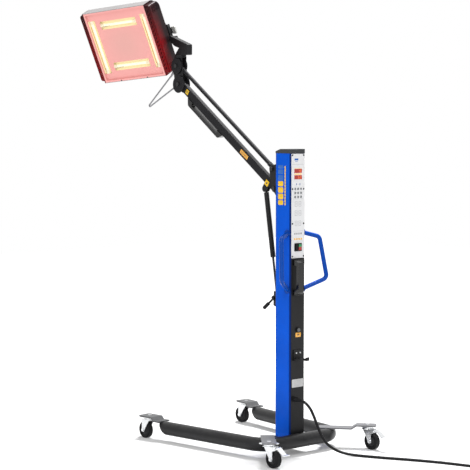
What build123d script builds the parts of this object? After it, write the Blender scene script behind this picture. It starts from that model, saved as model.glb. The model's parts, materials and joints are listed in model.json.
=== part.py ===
from build123d import *
import math
import os

# Infrared paint curing lamp on a wheeled stand. Millimetres, +Z up, +X towards the lamp head,
# +Y towards the side that the lamp faces. The column axis is the working origin; the finished
# pieces are moved so that the origin is below the middle of the whole lamp, at the floor.

# Shared clearances
RUN_CLEAR = 0.05
GAP = 0.3
OVERRUN = 20.0
TRIM = 1.0

# Base frame: a round tube bent to a U with flared legs
TUBE_RADIUS = 30.0
TUBE_WALL = 2.5
TUBE_Z = 60.0
LEG_WELD = 4.0
CROSS_X = -81.0
CROSS_HALF = 209.0
LEG_FRONT_X = 545.0
LEG_FLARE = 6.5
BEND_RADIUS = 100.0
END_SLANT = 32.0
END_PLATE = 3.0

# Swivel casters
WHEEL_RADIUS = 37.5
WHEEL_WIDTH = 25.0
WHEEL_EDGE = 4.0
HUB_RADIUS = 15.0
HUB_RECESS = 3.0
HUB_WIDTH = 28.0
AXLE_RADIUS = 4.0
AXLE_HEAD_RADIUS = 7.0
AXLE_HEAD = 4.5
TRAIL = 28.0
CASTER_HEIGHT = 100.0
FORK_PLATE = 2.5
FORK_GAP = 29.6
FORK_HEIGHT = 90.0
CROWN_RADIUS = 27.0
CROWN_THICK = 3.0
LEG_TOP_HALF = 21.0
LEG_REAR_SHARE = 0.7
CROWN_SHARE = 0.8
LEG_FOOT_HALF = 9.0
SWIVEL_PLATE = 62.0
SWIVEL_THICK = 3.0
RACE_RADIUS = 22.0
KINGPIN_RADIUS = 5.0
KINGPIN_HEAD_RADIUS = 9.0
KINGPIN_HEAD = 4.0
FRONT_KING_X = 612.0
FRONT_KING_Y = 289.0
REAR_KING_X = -188.0
REAR_KING_Y = 290.0
PEDAL_PIVOT_OUT = 22.0
PEDAL_PIVOT_Z = 83.0
PEDAL_PIN_RADIUS = 3.0
PEDAL_THICK = 3.0
PEDAL_WIDTH = 24.0
PEDAL_LENGTH = 46.0
PEDAL_PAD_WIDTH = 34.0
PEDAL_DROP = 24.0
PEDAL_HUB = 5.5
EAR_RADIUS = 6.5

# Plates that carry the casters
PLATE_THICK = 6.0
PLATE_WIDTH = 70.0
PLATE_AHEAD = 40.0
PLATE_BEHIND = 42.0
SADDLE_REACH = 48.0
SEAT_SINK = 4.0
BAR_WIDTH = 60.0
BAR_AHEAD = 38.0
BAR_LEVEL = 98.0
BAR_RAMP = 22.0

# Column
COLUMN_DEPTH = 100.0
COLUMN_WIDTH = 88.0
COLUMN_CORNER = 12.0
CORNER_SHARE = 0.9
COLUMN_WALL = 2.5
COLUMN_FOOT_Z = 64.0
COLUMN_TOP_Z = 1290.0
RECESS_WIDTH = 75.6
RECESS_DEPTH = 2.8
FOOT_PLATE = 8.0
FOOT_MARGIN = 4.0
FOOT_RIB = 6.0
FOOT_RIB_DROP = 28.0
CAP_HEIGHT = 18.0
CAP_OVERHANG = 1.6
CAP_SLOPE_RUN = 38.0
CAP_SLOPE_DROP = 13.0
CAP_SPIGOT = 12.0

# Panels on the rear of the column
PANEL_THICK = 2.6
PANEL_WIDTH = 75.0
PANEL_TOP_Z = 1288.0
PANEL_SPLIT_Z = 842.0
PANEL_FOOT_Z = 68.0
PANEL_JOINT = 0.6
WINDOW_WIDTH = 44.0
WINDOW_HEIGHT = 17.0
WINDOW_Z = (1215.0, 1188.0)
WINDOW_THICK = 1.6
LENS_RADIUS = 4.0
LENS_THICK = 2.0
LENS_Z = 924.0
LENS_COUNT = 4
LENS_PITCH = 13.0
KEY_RADIUS = 5.5
KEY_THICK = 1.2
KEY_Z = (1138.0, 1121.0, 1104.0)
KEY_PITCH = 17.0
SWITCH_Z = 889.0
SWITCH_WIDTH = 42.0
SWITCH_HEIGHT = 34.0
SWITCH_FRAME = 6.0
SWITCH_DEEP = 26.0
SWITCH_WALL = 2.5
BUTTON_WIDTH = 15.0
BUTTON_HEIGHT = 26.0
BUTTON_PROUD = 4.0
BUTTON_LENGTH = 14.0
BUTTON_CLEAR = 0.5
BUTTON_STEM = 4.0
RESET_Z = 533.0
RESET_RADIUS = 8.0
RESET_COLLAR_RADIUS = 12.0
RESET_COLLAR = 5.0
RESET_BORE = 8.6
RESET_PROUD = 4.0
SCREW_RADIUS = 3.6
SCREW_HEAD = 1.8
SCREW_EDGE = 5.0
PANEL_SCREW_Z = (1282.0, 1138.0, 990.0, 850.0)
HOOK_Z = 424.0
HOOK_WIDTH = 52.0
HOOK_HEIGHT = 46.0
HOOK_THICK = 4.0
HOOK_OUT = 46.0
HOOK_LIP = 16.0
HOOK_SCREW_UP = 10.0
HOOK_SCREW_HALF = 11.0
GLAND_Y = 22.0
GLAND_Z = 236.0
GLAND_RADIUS = 12.0
GLAND_NUT = 9.0
GLAND_CAP_RADIUS = 10.0

# Pull grip on the lower panel
GRIP_TOP_Z = 836.0
GRIP_FOOT_Z = 682.0
GRIP_WIDTH = 26.0
GRIP_Y = 16.0
GRIP_STAND = 36.0
GRIP_BAR = 14.0
GRIP_POST = 24.0
GRIP_FLANGE = 4.0
GRIP_FLANGE_Y = -35.0
GRIP_ROUND = 7.0

# Blue tubular side handles
HANDLE_RADIUS = 9.5
HANDLE_ROOT_X = -32.0
HANDLE_TOP_ROOT_Z = 950.0
HANDLE_FOOT_ROOT_Z = 706.0
HANDLE_UPPER = (-66.0, 112.0, 930.0)
HANDLE_LOWER = (-92.0, 132.0, 752.0)
HANDLE_BEND = 22.0
HANDLE_FLANGE_RADIUS = 15.0
HANDLE_FLANGE = 4.0

# Arm linkage
ARM_PIVOT_X = 85.0
ARM_PIVOT_Z = 1136.0
ROD_RISE_X = 15.0
ROD_RISE_Z = 84.0
ARM_REACH_X = 649.0
ARM_REACH_Z = 459.0
ARM_HEIGHT = 36.0
ARM_WIDTH = 20.0
ARM_WALL = 2.0
ARM_END = 17.0
ARM_BUSH_RADIUS = 11.0
PIVOT_RADIUS = 6.0
PIVOT_HEAD_RADIUS = 10.0
PIVOT_HEAD = 6.0
ROD_RADIUS = 9.0
ROD_EYE_RADIUS = 12.0
ROD_NUT_RADIUS = 12.0
ROD_NUT = 14.0
ROD_NUT_SET = 24.0
CHEEK_GAP = 0.8
EAR_THICK = 5.0
BRACKET_BACK = 4.0
BRACKET_HALF = 32.0
BRACKET_LOW_Z = 1078.0
BRACKET_HIGH_Z = 1246.0
BRACKET_EAR_RADIUS = 16.0

# Gas spring
SPRING_TOP_X = 154.0
SPRING_TOP_Z = 1133.0
SPRING_FOOT_X = 77.0
SPRING_FOOT_Z = 640.0
SPRING_RADIUS = 11.0
SPRING_BORE = 9.0
SPRING_BODY = 285.0
SPRING_ROD_RADIUS = 5.0
SPRING_ROD_IN = 120.0
SPRING_EYE_RADIUS = 9.0
SPRING_EYE_WIDTH = 12.0
SPRING_PIN_RADIUS = 4.0
SPRING_NECK = 16.0
SPRING_NECK_RADIUS = 4.5
SPRING_SEAL = 10.0
LUG_THICK = 3.5
LUG_RADIUS = 9.0
ARM_LUG_SHARE = 1.6
FOOT_SLOT = 14.0
SLOT_CLEAR = 1.3
FOOT_EAR_AHEAD = 15.0
FOOT_BELOW = 22.0
FOOT_ABOVE = 50.0
FOOT_BACK_HALF = 26.0
LEVER_AHEAD = 3.0
LEVER_UP = 23.0
LEVER_REACH = 67.0
LEVER_DROP = 52.0
LEVER_RADIUS = 4.5
LEVER_GRIP_RADIUS = 8.0
LEVER_GRIP = 38.0
LEVER_HUB_RADIUS = 9.0
LEVER_HUB = 10.0
LEVER_PIN_RADIUS = 4.0
STUD_HEAD_SHARE = 0.8

# Arm grip
ARM_GRIP_START = 415.0
ARM_GRIP_END = 710.0
ARM_GRIP_STAND = 28.0
ARM_GRIP_BAR = 13.0
ARM_GRIP_POST = 40.0
ARM_GRIP_WIDTH = 26.0
ARM_GRIP_ROUND = 8.0

# Level link at the arm's end
LINK_THICK = 3.0
LINK_LOW_RADIUS = 34.0
LINK_TOP_RADIUS = 30.0
DISC_LOW_RADIUS = 40.0
DISC_TOP_RADIUS = 36.5
DISC_THICK = 4.0
DISC_EDGE = 1.5
SEAT_AHEAD = 8.0
SEAT_UP = 127.0
SEAT_RADIUS = 26.0
SEAT_BLOCK = 6.0
SWIVEL_PIN_RADIUS = 7.0
SWIVEL_NUT_RADIUS = 11.0
SWIVEL_NUT = 8.0
WIRE_RADIUS = 3.5
WIRE_REACH = 251.0
WIRE_DROP = 119.0
WIRE_TOP_AHEAD = 23.0
WIRE_TOP_UP = 65.0
WIRE_BEND = 5.0
WIRE_EYE_RADIUS = 12.0
WIRE_EYE = 4.0

# Swivel bracket
POST_WIDTH = 42.0
POST_HALF = 15.0
POST_BASE_RADIUS = 26.0
POST_BASE = 6.0
BEAM_BEHIND = 65.0
BEAM_LOW = 6.0
BEAM_HIGH = 54.0
BEAM_UNDERSIDE = ((37.0, 55.0), (25.0, 48.0), (-6.0, 39.0), (13.0, 20.0), (21.0, 8.0))
BEAM_ROUND = 6.0
POST_WALL = 2.5
NUT_ROOM = 2.0

# Lamp head, in its own frame: x to the column side, y up the face, z out of the face
HEAD_AHEAD = 234.6
HEAD_SIDE = 148.0
HEAD_UP = 57.3
HEAD_RIGHT = (-0.954, -0.288, 0.089)
HEAD_NORMAL = (-0.299, 0.865, -0.404)
FACE = 350.0
HEAD_DEPTH = 95.0
HEAD_BACK_ROUND = 42.0
SHEET = 2.0
FACE_LIP = 9.0
CAP_WIDTH = 24.0
CAP_WALL = 2.5
CAP_ROUND = 12.0
CAP_RIM = 10.0
CAP_STEP = 8.0
CAP_FLANGE = 3.0
CAP_SLOTS = 16
CAP_SLOT_WIDTH = 4.0
CAP_SLOT_LENGTH = 15.0
SLOT_SPAN_SHARE = 0.8
SLOT_TURN = 45.0
SIDE_SLOTS = 7
SIDE_SLOT_LENGTH = 34.0
SIDE_SLOT_PITCH = 9.0
TRAY_SET = 10.0
QUARTER_TURN = 90.0
TRAY_THICK = 2.0
TROUGH_RADIUS = 20.0
SIDE_LAMP_X = 148.0
SIDE_LAMP = 268.0
CROSS_LAMP_Y = 103.0
CROSS_LAMP = 206.0
LAMP_RADIUS = 6.0
LAMP_SET = 4.0
LAMP_END = 18.0
LAMP_END_RADIUS = 8.5
HOLDER_WIDTH = 12.0

# Tilt hinge behind the head
TILT_SET = 103.0
TILT_RISE = -35.0
TILT_LUG_START = 203.0
TILT_LUG_END = 225.0
TILT_LUG_RADIUS = 11.5
TILT_PIN_RADIUS = 5.0
TILT_PIN_START = 187.0
TILT_PIN_END = 224.0
TILT_NUT_RADIUS = 7.5
TILT_NUT = 7.5
HINGE_PLATE = 4.0
HINGE_OUTLINE = ((90.0, -47.0), (175.0, -47.0), (189.0, -24.0), (201.0, -24.0), (201.0, 36.0),
                 (188.0, 49.0), (90.0, 49.0))
EAR_START = 195.0
EAR_END = 201.0
EAR_LOW = -47.0
EAR_HIGH = 36.0
EAR_DEEP = 114.0
EAR_CORNER = 4.0
TAB_HALF = 14.0
CLAMP_END = 219.0
CLAMP_HALF = 18.0
CLAMP_NEAR = 120.0
CLAMP_FAR = 130.0

# Inside the column
BOARD_Z = (880.0, 1230.0)
BOARD_WIDTH = 66.0
BOARD_THICK = 1.6
BOARD_STAND = 8.0
BOARD_POST_RADIUS = 3.0
CHIP = (18.0, 24.0, 5.0)
CHIP_SHARES = (0.2, 0.45, 0.7)
MODULE_Z = (560.0, 720.0)
MODULE_WIDTH = 70.0
MODULE_DEPTH = 55.0
FIN_COUNT = 8
FIN_THICK = 2.0
FIN_DEPTH = 18.0
TERMINAL_Z = (150.0, 200.0)
TERMINAL_WIDTH = 50.0
TERMINAL_DEPTH = 22.0
TERMINAL_WAYS = 5

# Mains cord
CORD_RADIUS = 6.0
CORD_POINTS = [
    (-72.0, 22.0, 236.0),
    (-100.0, 22.0, 236.0),
    (-126.3, 19.7, 225.3),
    (-146.1, 14.4, 205.5),
    (-157.9, 6.1, 174.7),
    (-163.0, -12.0, 128.0),
    (-171.0, -32.0, 80.0),
    (-181.0, -50.0, 50.0),
    (-200.0, -73.0, 27.5),
    (-228.0, -99.0, 12.0),
    (-268.0, -124.0, 6.0),
    (-330.0, -150.0, 6.0),
    (-400.0, -185.0, 6.0),
    (-480.0, -230.0, 6.0),
    (-566.0, -272.0, 6.0),
    (-650.0, -306.0, 6.0),
    (-736.8, -331.4, 6.0),
    (-830.8, -365.4, 6.0),
]
BEND_SHARE = 0.45
COIL_LOOPS = 4
COIL_PITCH = 12.9
COIL_OUTER = 92.0
COIL_LIFT = 12.9
PLUG_LENGTH = 44.0
PLUG_NECK = 22.0
PLUG_NECK_RADIUS = 9.0
PIN_RADIUS = 2.4
PIN_LENGTH = 19.0
PIN_HALF = 9.5
TAIL = 72.0

# Worked-out places
HALF_DEPTH = COLUMN_DEPTH / 2
HALF_WIDTH = COLUMN_WIDTH / 2
RECESS_X = -HALF_DEPTH + RECESS_DEPTH
PANEL_X = RECESS_X - PANEL_THICK
INNER_X = RECESS_X + COLUMN_WALL
PLATE_TOP = CASTER_HEIGHT + PLATE_THICK
ARM_ANGLE = math.degrees(math.atan2(ARM_REACH_Z, ARM_REACH_X))
ARM_LENGTH = math.hypot(ARM_REACH_X, ARM_REACH_Z)
ROD_PIVOT_X = ARM_PIVOT_X + ROD_RISE_X
ROD_PIVOT_Z = ARM_PIVOT_Z + ROD_RISE_Z
LINK_X = ARM_PIVOT_X + ARM_REACH_X
LINK_Z = ARM_PIVOT_Z + ARM_REACH_Z
LINK_TOP_X = LINK_X + ROD_RISE_X
LINK_TOP_Z = LINK_Z + ROD_RISE_Z
WIRE_TIP_X = LINK_X + WIRE_REACH
WIRE_TIP_Z = LINK_Z - WIRE_DROP
WIRE_TOP_X = LINK_X + WIRE_TOP_AHEAD
WIRE_TOP_Z = LINK_Z + WIRE_TOP_UP
SEAT_X = LINK_X + SEAT_AHEAD
SEAT_Z = LINK_Z + SEAT_UP
HEAD_CENTRE = (SEAT_X + HEAD_AHEAD, HEAD_SIDE, SEAT_Z + HEAD_UP)
FOOT_EAR_X = SPRING_FOOT_X + FOOT_EAR_AHEAD
FOOT_LOW_Z = SPRING_FOOT_Z - FOOT_BELOW
FOOT_HIGH_Z = SPRING_FOOT_Z + FOOT_ABOVE
LEVER_X = SPRING_FOOT_X + LEVER_AHEAD
LEVER_Z = SPRING_FOOT_Z + LEVER_UP
EAR_INNER = ARM_WIDTH / 2 + CHEEK_GAP
EAR_OUTER = EAR_INNER + EAR_THICK
CHEEK_OUTER = EAR_INNER + LINK_THICK
DISC_NEAR = CHEEK_OUTER + WIRE_EYE
HALF_FACE = FACE / 2
HEAD_END = HALF_FACE + CAP_WIDTH
HEAD = Plane(origin=HEAD_CENTRE, x_dir=HEAD_RIGHT, z_dir=HEAD_NORMAL)
ARM = Plane(origin=(ARM_PIVOT_X, 0, ARM_PIVOT_Z),
            x_dir=(ARM_REACH_X, 0, ARM_REACH_Z), z_dir=(0, -1, 0))
LONG = (Align.CENTER, Align.CENTER, Align.MIN)


def block(low, high):
    """Box between two corners."""
    size = [b - a for a, b in zip(low, high)]
    middle = [(a + b) / 2 for a, b in zip(low, high)]
    return Pos(*middle) * Box(*size)


def bar(start, end, radius):
    """Round bar from one point to another."""
    start, end = Vector(*start), Vector(*end)
    way = end - start
    place = Plane(origin=start, z_dir=way)
    return place * Cylinder(radius, way.length, align=(Align.CENTER, Align.CENTER, Align.MIN))


def cross_bar(x, z, low, high, radius):
    """Round bar along Y."""
    return bar((x, low, z), (x, high, z), radius)


def side_outline(points):
    """Closed face in the XZ plane from (x, z) points, at Y = 0."""
    return make_face(Polyline(*[(x, 0, z) for x, z in points], close=True))


def slab(face, low, high):
    """Thicken a face of the XZ plane between two Y values."""
    return Pos(0, low, 0) * extrude(face, high - low, dir=(0, 1, 0))


def make_hull_xz(circles):
    """Outline round two circles given as (x, z, radius): two discs and their outer tangents."""
    (x1, z1, r1), (x2, z2, r2) = circles
    span = math.hypot(x2 - x1, z2 - z1)
    heading = math.atan2(z2 - z1, x2 - x1)
    lean = math.acos((r1 - r2) / span)
    corners = []
    for x, z, radius, sides in ((x1, z1, r1, (1, -1)), (x2, z2, r2, (-1, 1))):
        for sign in sides:
            angle = heading + sign * lean
            corners.append((x + radius * math.cos(angle), z + radius * math.sin(angle)))
    body = side_outline(corners)
    for x, z, radius in circles:
        body = body + Plane((x, 0, z), z_dir=(0, -1, 0)) * Circle(radius)
    return body


def both_sides(shape):
    """A piece and its mirror image in the XZ plane."""
    return [shape, mirror(shape, about=Plane.XZ)]


# Base frame

def leg_y(x):
    """Half width of the leg centre line at x."""
    return CROSS_HALF + (x - CROSS_X) * math.tan(math.radians(LEG_FLARE))


def base_path():
    """Centre line of the U: near leg, cross tube, far leg."""
    reach = LEG_FRONT_X + TUBE_RADIUS
    points = [(reach, leg_y(reach), TUBE_Z), (CROSS_X, CROSS_HALF, TUBE_Z),
              (CROSS_X, -CROSS_HALF, TUBE_Z), (reach, -leg_y(reach), TUBE_Z)]
    return FilletPolyline(*points, radius=BEND_RADIUS)


def end_plane(side):
    """Slanted plane that cuts a leg's front end, its top ahead of its bottom."""
    flare = math.radians(LEG_FLARE) * side
    lean = math.radians(END_SLANT)
    out = (math.cos(flare) * math.cos(lean), math.sin(flare) * math.cos(lean), -math.sin(lean))
    return Plane(origin=(LEG_FRONT_X - TUBE_RADIUS, side * leg_y(LEG_FRONT_X - TUBE_RADIUS), TUBE_Z),
                 z_dir=out)


def end_cutter(side, start):
    """Everything ahead of a leg's slanted end, from a distance along its normal."""
    size = 8 * TUBE_RADIUS
    return end_plane(side) * Pos(0, 0, start) * Box(size, size, size, align=LONG)


def tube_solid(radius):
    """Round bar along the base path."""
    path = base_path()
    return sweep(Plane(origin=path @ 0, z_dir=path % 0) * Circle(radius), path)


def weld_x():
    """Where the straight legs are welded to the bent cross tube, along x."""
    half = math.radians(90 - LEG_FLARE) / 2
    return CROSS_X + BEND_RADIUS * math.tan(half) * math.cos(math.radians(LEG_FLARE)) + LEG_WELD


def base_tube():
    """Bent cross tube and the two straight legs that are welded to it, with slanted ends."""
    tube = tube_solid(TUBE_RADIUS) - tube_solid(TUBE_RADIUS - TUBE_WALL)
    tube = tube - end_cutter(1, 0) - end_cutter(-1, 0)
    weld, reach, wide = weld_x(), LEG_FRONT_X + 2 * TUBE_RADIUS, 2 * CROSS_HALF
    rear = tube & block((CROSS_X - 2 * TUBE_RADIUS, -wide, 0), (weld, wide, 2 * TUBE_Z))
    legs = tube & block((weld, -wide, 0), (reach, wide, 2 * TUBE_Z))
    return [rear, *legs.solids()]


def end_plates():
    """Sheet discs that close the slanted ends."""
    solid = tube_solid(TUBE_RADIUS)
    plates = []
    for side in (1, -1):
        cap = solid & (end_cutter(side, 0) - end_cutter(side, END_PLATE))
        plates.append(cap)
    return plates


def front_plate(side):
    """Flat caster plate cranked down onto the tube's end."""
    seat = TUBE_Z + TUBE_RADIUS - SEAT_SINK
    drop = CASTER_HEIGHT - seat
    front, back = PLATE_AHEAD, -PLATE_BEHIND
    points = [(front, PLATE_TOP), (back, PLATE_TOP), (back - drop, seat + PLATE_THICK),
              (back - SADDLE_REACH, seat + PLATE_THICK), (back - SADDLE_REACH, seat),
              (back - drop, seat), (back, CASTER_HEIGHT), (front, CASTER_HEIGHT)]
    body = slab(side_outline(points), -PLATE_WIDTH / 2, PLATE_WIDTH / 2)
    body = fillet(body.edges().filter_by(Axis.Z).sort_by(Axis.X)[-2:], PLATE_THICK * 2)
    body = Pos(FRONT_KING_X, side * FRONT_KING_Y, 0) * Rot(0, 0, LEG_FLARE * side) * body
    return body - tube_solid(TUBE_RADIUS) - cross_hole(FRONT_KING_X, side * FRONT_KING_Y)


def cross_hole(x, y):
    """Hole for a caster's kingpin head."""
    return Pos(x, y, CASTER_HEIGHT) * Cylinder(KINGPIN_HEAD_RADIUS + GAP, 4 * PLATE_THICK)


def bend_middle(side):
    """Point of the tube's centre line in the middle of a rear bend."""
    turn = math.radians(90 + LEG_FLARE)
    half = turn / 2
    inset = BEND_RADIUS / math.cos(half) - BEND_RADIUS
    direction = math.radians(LEG_FLARE) + (math.pi - turn) / 2
    return (CROSS_X + inset * math.cos(direction), side * (CROSS_HALF - inset * math.sin(direction)))


def rear_bar(side):
    """Cranked flat bar from a rear bend out to its caster."""
    mid_x, mid_y = bend_middle(side)
    dx, dy = REAR_KING_X - mid_x, side * REAR_KING_Y - mid_y
    reach = math.hypot(dx, dy)
    heading = math.degrees(math.atan2(dy, dx))
    seat = TUBE_Z + TUBE_RADIUS - SEAT_SINK
    start = -TUBE_RADIUS
    ramp_end = reach - BAR_LEVEL / 2
    ramp_start = ramp_end - BAR_RAMP
    end = reach + BAR_AHEAD
    points = [(start, seat), (start, seat + PLATE_THICK), (ramp_start, seat + PLATE_THICK), (ramp_end,
                                                                                             PLATE_TOP),
              (end, PLATE_TOP), (end, CASTER_HEIGHT), (ramp_end + PLATE_THICK / 2, CASTER_HEIGHT),
              (ramp_start + PLATE_THICK / 2, seat)]
    body = slab(side_outline(points), -BAR_WIDTH / 2, BAR_WIDTH / 2)
    body = fillet(body.edges().filter_by(Axis.Z).sort_by(Axis.X)[-2:], BAR_WIDTH / 4)
    body = Pos(mid_x, mid_y, 0) * Rot(0, 0, heading) * body
    return body - tube_solid(TUBE_RADIUS) - cross_hole(REAR_KING_X, side * REAR_KING_Y)


def column_foot():
    """Plate under the column, welded against the cross tube, with two ribs below."""
    low_z = COLUMN_FOOT_Z - FOOT_PLATE
    plate = block((CROSS_X, -HALF_WIDTH - FOOT_MARGIN, low_z),
                  (HALF_DEPTH + FOOT_MARGIN, HALF_WIDTH + FOOT_MARGIN, COLUMN_FOOT_Z))
    body = plate
    for side in (1, -1):
        rib = side_outline([(CROSS_X, low_z), (HALF_DEPTH, low_z), (CROSS_X, low_z - FOOT_RIB_DROP)])
        middle = side * (HALF_WIDTH - FOOT_RIB)
        body = body + slab(rib, middle - FOOT_RIB / 2, middle + FOOT_RIB / 2)
    spigot = block((-HALF_DEPTH + FOOT_RIB * 2, -HALF_WIDTH + FOOT_RIB, COLUMN_FOOT_Z),
                   (HALF_DEPTH - FOOT_RIB, HALF_WIDTH - FOOT_RIB, COLUMN_FOOT_Z + FOOT_PLATE))
    return body + spigot - tube_solid(TUBE_RADIUS)


# Casters

def swivel_plate(x, y):
    """Fixed part of a caster: plate, ball race and kingpin."""
    plate = block((-SWIVEL_PLATE / 2, -SWIVEL_PLATE / 2, CASTER_HEIGHT - SWIVEL_THICK),
                  (SWIVEL_PLATE / 2, SWIVEL_PLATE / 2, CASTER_HEIGHT))
    plate = fillet(plate.edges().filter_by(Axis.Z), SWIVEL_THICK * 2)
    race = bar((0, 0, FORK_HEIGHT + GAP), (0, 0, CASTER_HEIGHT - SWIVEL_THICK), RACE_RADIUS)
    pin = bar((0, 0, FORK_HEIGHT - CROWN_THICK - KINGPIN_HEAD - GAP), (0, 0, CASTER_HEIGHT), KINGPIN_RADIUS)
    nut = bar((0, 0, FORK_HEIGHT - CROWN_THICK - KINGPIN_HEAD - GAP),
              (0, 0, FORK_HEIGHT - CROWN_THICK - GAP), KINGPIN_HEAD_RADIUS)
    head = bar((0, 0, CASTER_HEIGHT), (0, 0, PLATE_TOP + KINGPIN_HEAD / 2), KINGPIN_HEAD_RADIUS)
    return Pos(x, y, 0) * (plate + race + pin + nut + head)


def fork(trail, with_pedal):
    """Pressed fork with its axle, the kingpin axis at x = 0 and the wheel at x = trail."""
    sign = 1 if trail > 0 else -1
    crown = bar((0, 0, FORK_HEIGHT - CROWN_THICK), (0, 0, FORK_HEIGHT), CROWN_RADIUS)
    crown = crown + block((min(0, trail * CROWN_SHARE), -FORK_GAP / 2 - FORK_PLATE,
                           FORK_HEIGHT - CROWN_THICK),
                          (max(0, trail * CROWN_SHARE), FORK_GAP / 2 + FORK_PLATE, FORK_HEIGHT))
    corners = [(-sign * LEG_TOP_HALF * LEG_REAR_SHARE, FORK_HEIGHT), (sign * (TRAIL + LEG_FOOT_HALF),
                                                                      FORK_HEIGHT),
               (trail + sign * LEG_FOOT_HALF, WHEEL_RADIUS), (trail - sign * LEG_FOOT_HALF, WHEEL_RADIUS)]
    leg_face = side_outline(corners) + Plane((trail, 0, WHEEL_RADIUS), z_dir=(0, -1,
                                                                              0)) * Circle(LEG_FOOT_HALF)
    if with_pedal:
        ear_x = trail + sign * PEDAL_PIVOT_OUT
        ear = make_hull_xz([(ear_x, PEDAL_PIVOT_Z, EAR_RADIUS),
                            (trail - sign * TRIM, FORK_HEIGHT - EAR_RADIUS * 2, EAR_RADIUS + TRIM)])
        leg_face = leg_face + ear
    leg = slab(leg_face, FORK_GAP / 2, FORK_GAP / 2 + FORK_PLATE)
    body = crown + both_sides(leg)
    body = body - bar((0, 0, 0), (0, 0, CASTER_HEIGHT), KINGPIN_RADIUS + RUN_CLEAR)
    body = body - cross_bar(trail, WHEEL_RADIUS, -OVERRUN, OVERRUN, AXLE_RADIUS)
    if with_pedal:
        ear_x = trail + sign * PEDAL_PIVOT_OUT
        body = body - cross_bar(ear_x, PEDAL_PIVOT_Z, -OVERRUN, OVERRUN, PEDAL_PIN_RADIUS + RUN_CLEAR)
    outer = FORK_GAP / 2 + FORK_PLATE
    axle = cross_bar(trail, WHEEL_RADIUS, -outer, outer, AXLE_RADIUS)
    axle = axle + cross_bar(trail, WHEEL_RADIUS, outer, outer + AXLE_HEAD, AXLE_HEAD_RADIUS)
    axle = axle + cross_bar(trail, WHEEL_RADIUS, -outer - AXLE_HEAD, -outer, AXLE_HEAD_RADIUS)
    return body + axle


def wheel(trail):
    """Wheel with rounded tread, recessed sides and a hub boss."""
    half = WHEEL_WIDTH / 2
    tread = cross_bar(trail, WHEEL_RADIUS, -half, half, WHEEL_RADIUS)
    tread = fillet(tread.edges(), WHEEL_EDGE)
    for side in (1, -1):
        deep = side * (half - HUB_RECESS)
        tread = tread - cross_bar(trail, WHEEL_RADIUS, min(deep, side * half * 2), max(deep,
                                                                                       side * half * 2),
                                  WHEEL_RADIUS - 2 * WHEEL_EDGE)
    hub = cross_bar(trail, WHEEL_RADIUS, -HUB_WIDTH / 2, HUB_WIDTH / 2, HUB_RADIUS)
    return tread + hub - cross_bar(trail, WHEEL_RADIUS, -HUB_WIDTH, HUB_WIDTH, AXLE_RADIUS + RUN_CLEAR)


def pedal(trail):
    """Brake pedal of a rear caster, on its pin through the fork's ears."""
    sign = 1 if trail > 0 else -1
    pivot = trail + sign * PEDAL_PIVOT_OUT
    pin_half = FORK_GAP / 2 + FORK_PLATE + PEDAL_PIN_RADIUS
    pin = cross_bar(pivot, PEDAL_PIVOT_Z, -pin_half, pin_half, PEDAL_PIN_RADIUS)
    hub = cross_bar(pivot, PEDAL_PIVOT_Z, -PEDAL_WIDTH / 2, PEDAL_WIDTH / 2, PEDAL_HUB)
    top = PEDAL_PIVOT_Z + PEDAL_HUB
    points = [(pivot, top), (pivot + sign * PEDAL_HUB * 2, top),
              (pivot + sign * PEDAL_LENGTH, top - PEDAL_DROP), (pivot + sign * PEDAL_LENGTH,
                                                                top - PEDAL_DROP - PEDAL_THICK),
              (pivot + sign * PEDAL_HUB * 2, top - PEDAL_THICK), (pivot, top - PEDAL_THICK)]
    arm = slab(side_outline(points), -PEDAL_WIDTH / 2, PEDAL_WIDTH / 2)
    pad_x = pivot + sign * PEDAL_LENGTH
    pad = block((min(pad_x, pad_x + sign * PEDAL_THICK * 4), -PEDAL_PAD_WIDTH / 2,
                 top - PEDAL_DROP - PEDAL_THICK),
                (max(pad_x, pad_x + sign * PEDAL_THICK * 4), PEDAL_PAD_WIDTH / 2, top - PEDAL_DROP + TRIM))
    return pin + hub + arm + pad


# Column

def column_section(inset):
    """Rounded rectangle of the column, drawn inwards by inset."""
    return RectangleRounded(COLUMN_DEPTH - 2 * inset, COLUMN_WIDTH - 2 * inset,
                            COLUMN_CORNER - inset * CORNER_SHARE)


def column_shell():
    """Folded column with the panel recess down its rear."""
    height = COLUMN_TOP_Z - COLUMN_FOOT_Z
    outer = Pos(0, 0, COLUMN_FOOT_Z) * extrude(column_section(0), height)
    hollow = Pos(0, 0, COLUMN_FOOT_Z - TRIM) * extrude(column_section(COLUMN_WALL), height + 2 * TRIM)
    hollow = hollow & block((INNER_X, -COLUMN_WIDTH, 0), (COLUMN_DEPTH, COLUMN_WIDTH,
                                                          COLUMN_TOP_Z + OVERRUN))
    recess = block((-COLUMN_DEPTH, -RECESS_WIDTH / 2, 0), (RECESS_X, RECESS_WIDTH / 2,
                                                           COLUMN_TOP_Z + OVERRUN))
    shell = outer - hollow - recess
    shell = shell - cross_opening(SWITCH_Z, SWITCH_WIDTH - SWITCH_FRAME, SWITCH_HEIGHT - SWITCH_FRAME)
    shell = shell - rear_hole(GLAND_Y, GLAND_Z, GLAND_CAP_RADIUS / 2 + GAP)
    return shell


def cross_opening(z, width, height):
    """Square opening through the rear of the column."""
    return block((-COLUMN_DEPTH, -width / 2, z - height / 2), (0, width / 2, z + height / 2))


def rear_hole(y, z, radius):
    """Round opening through the rear of the column."""
    return bar((-COLUMN_DEPTH, y, z), (0, y, z), radius)


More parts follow.
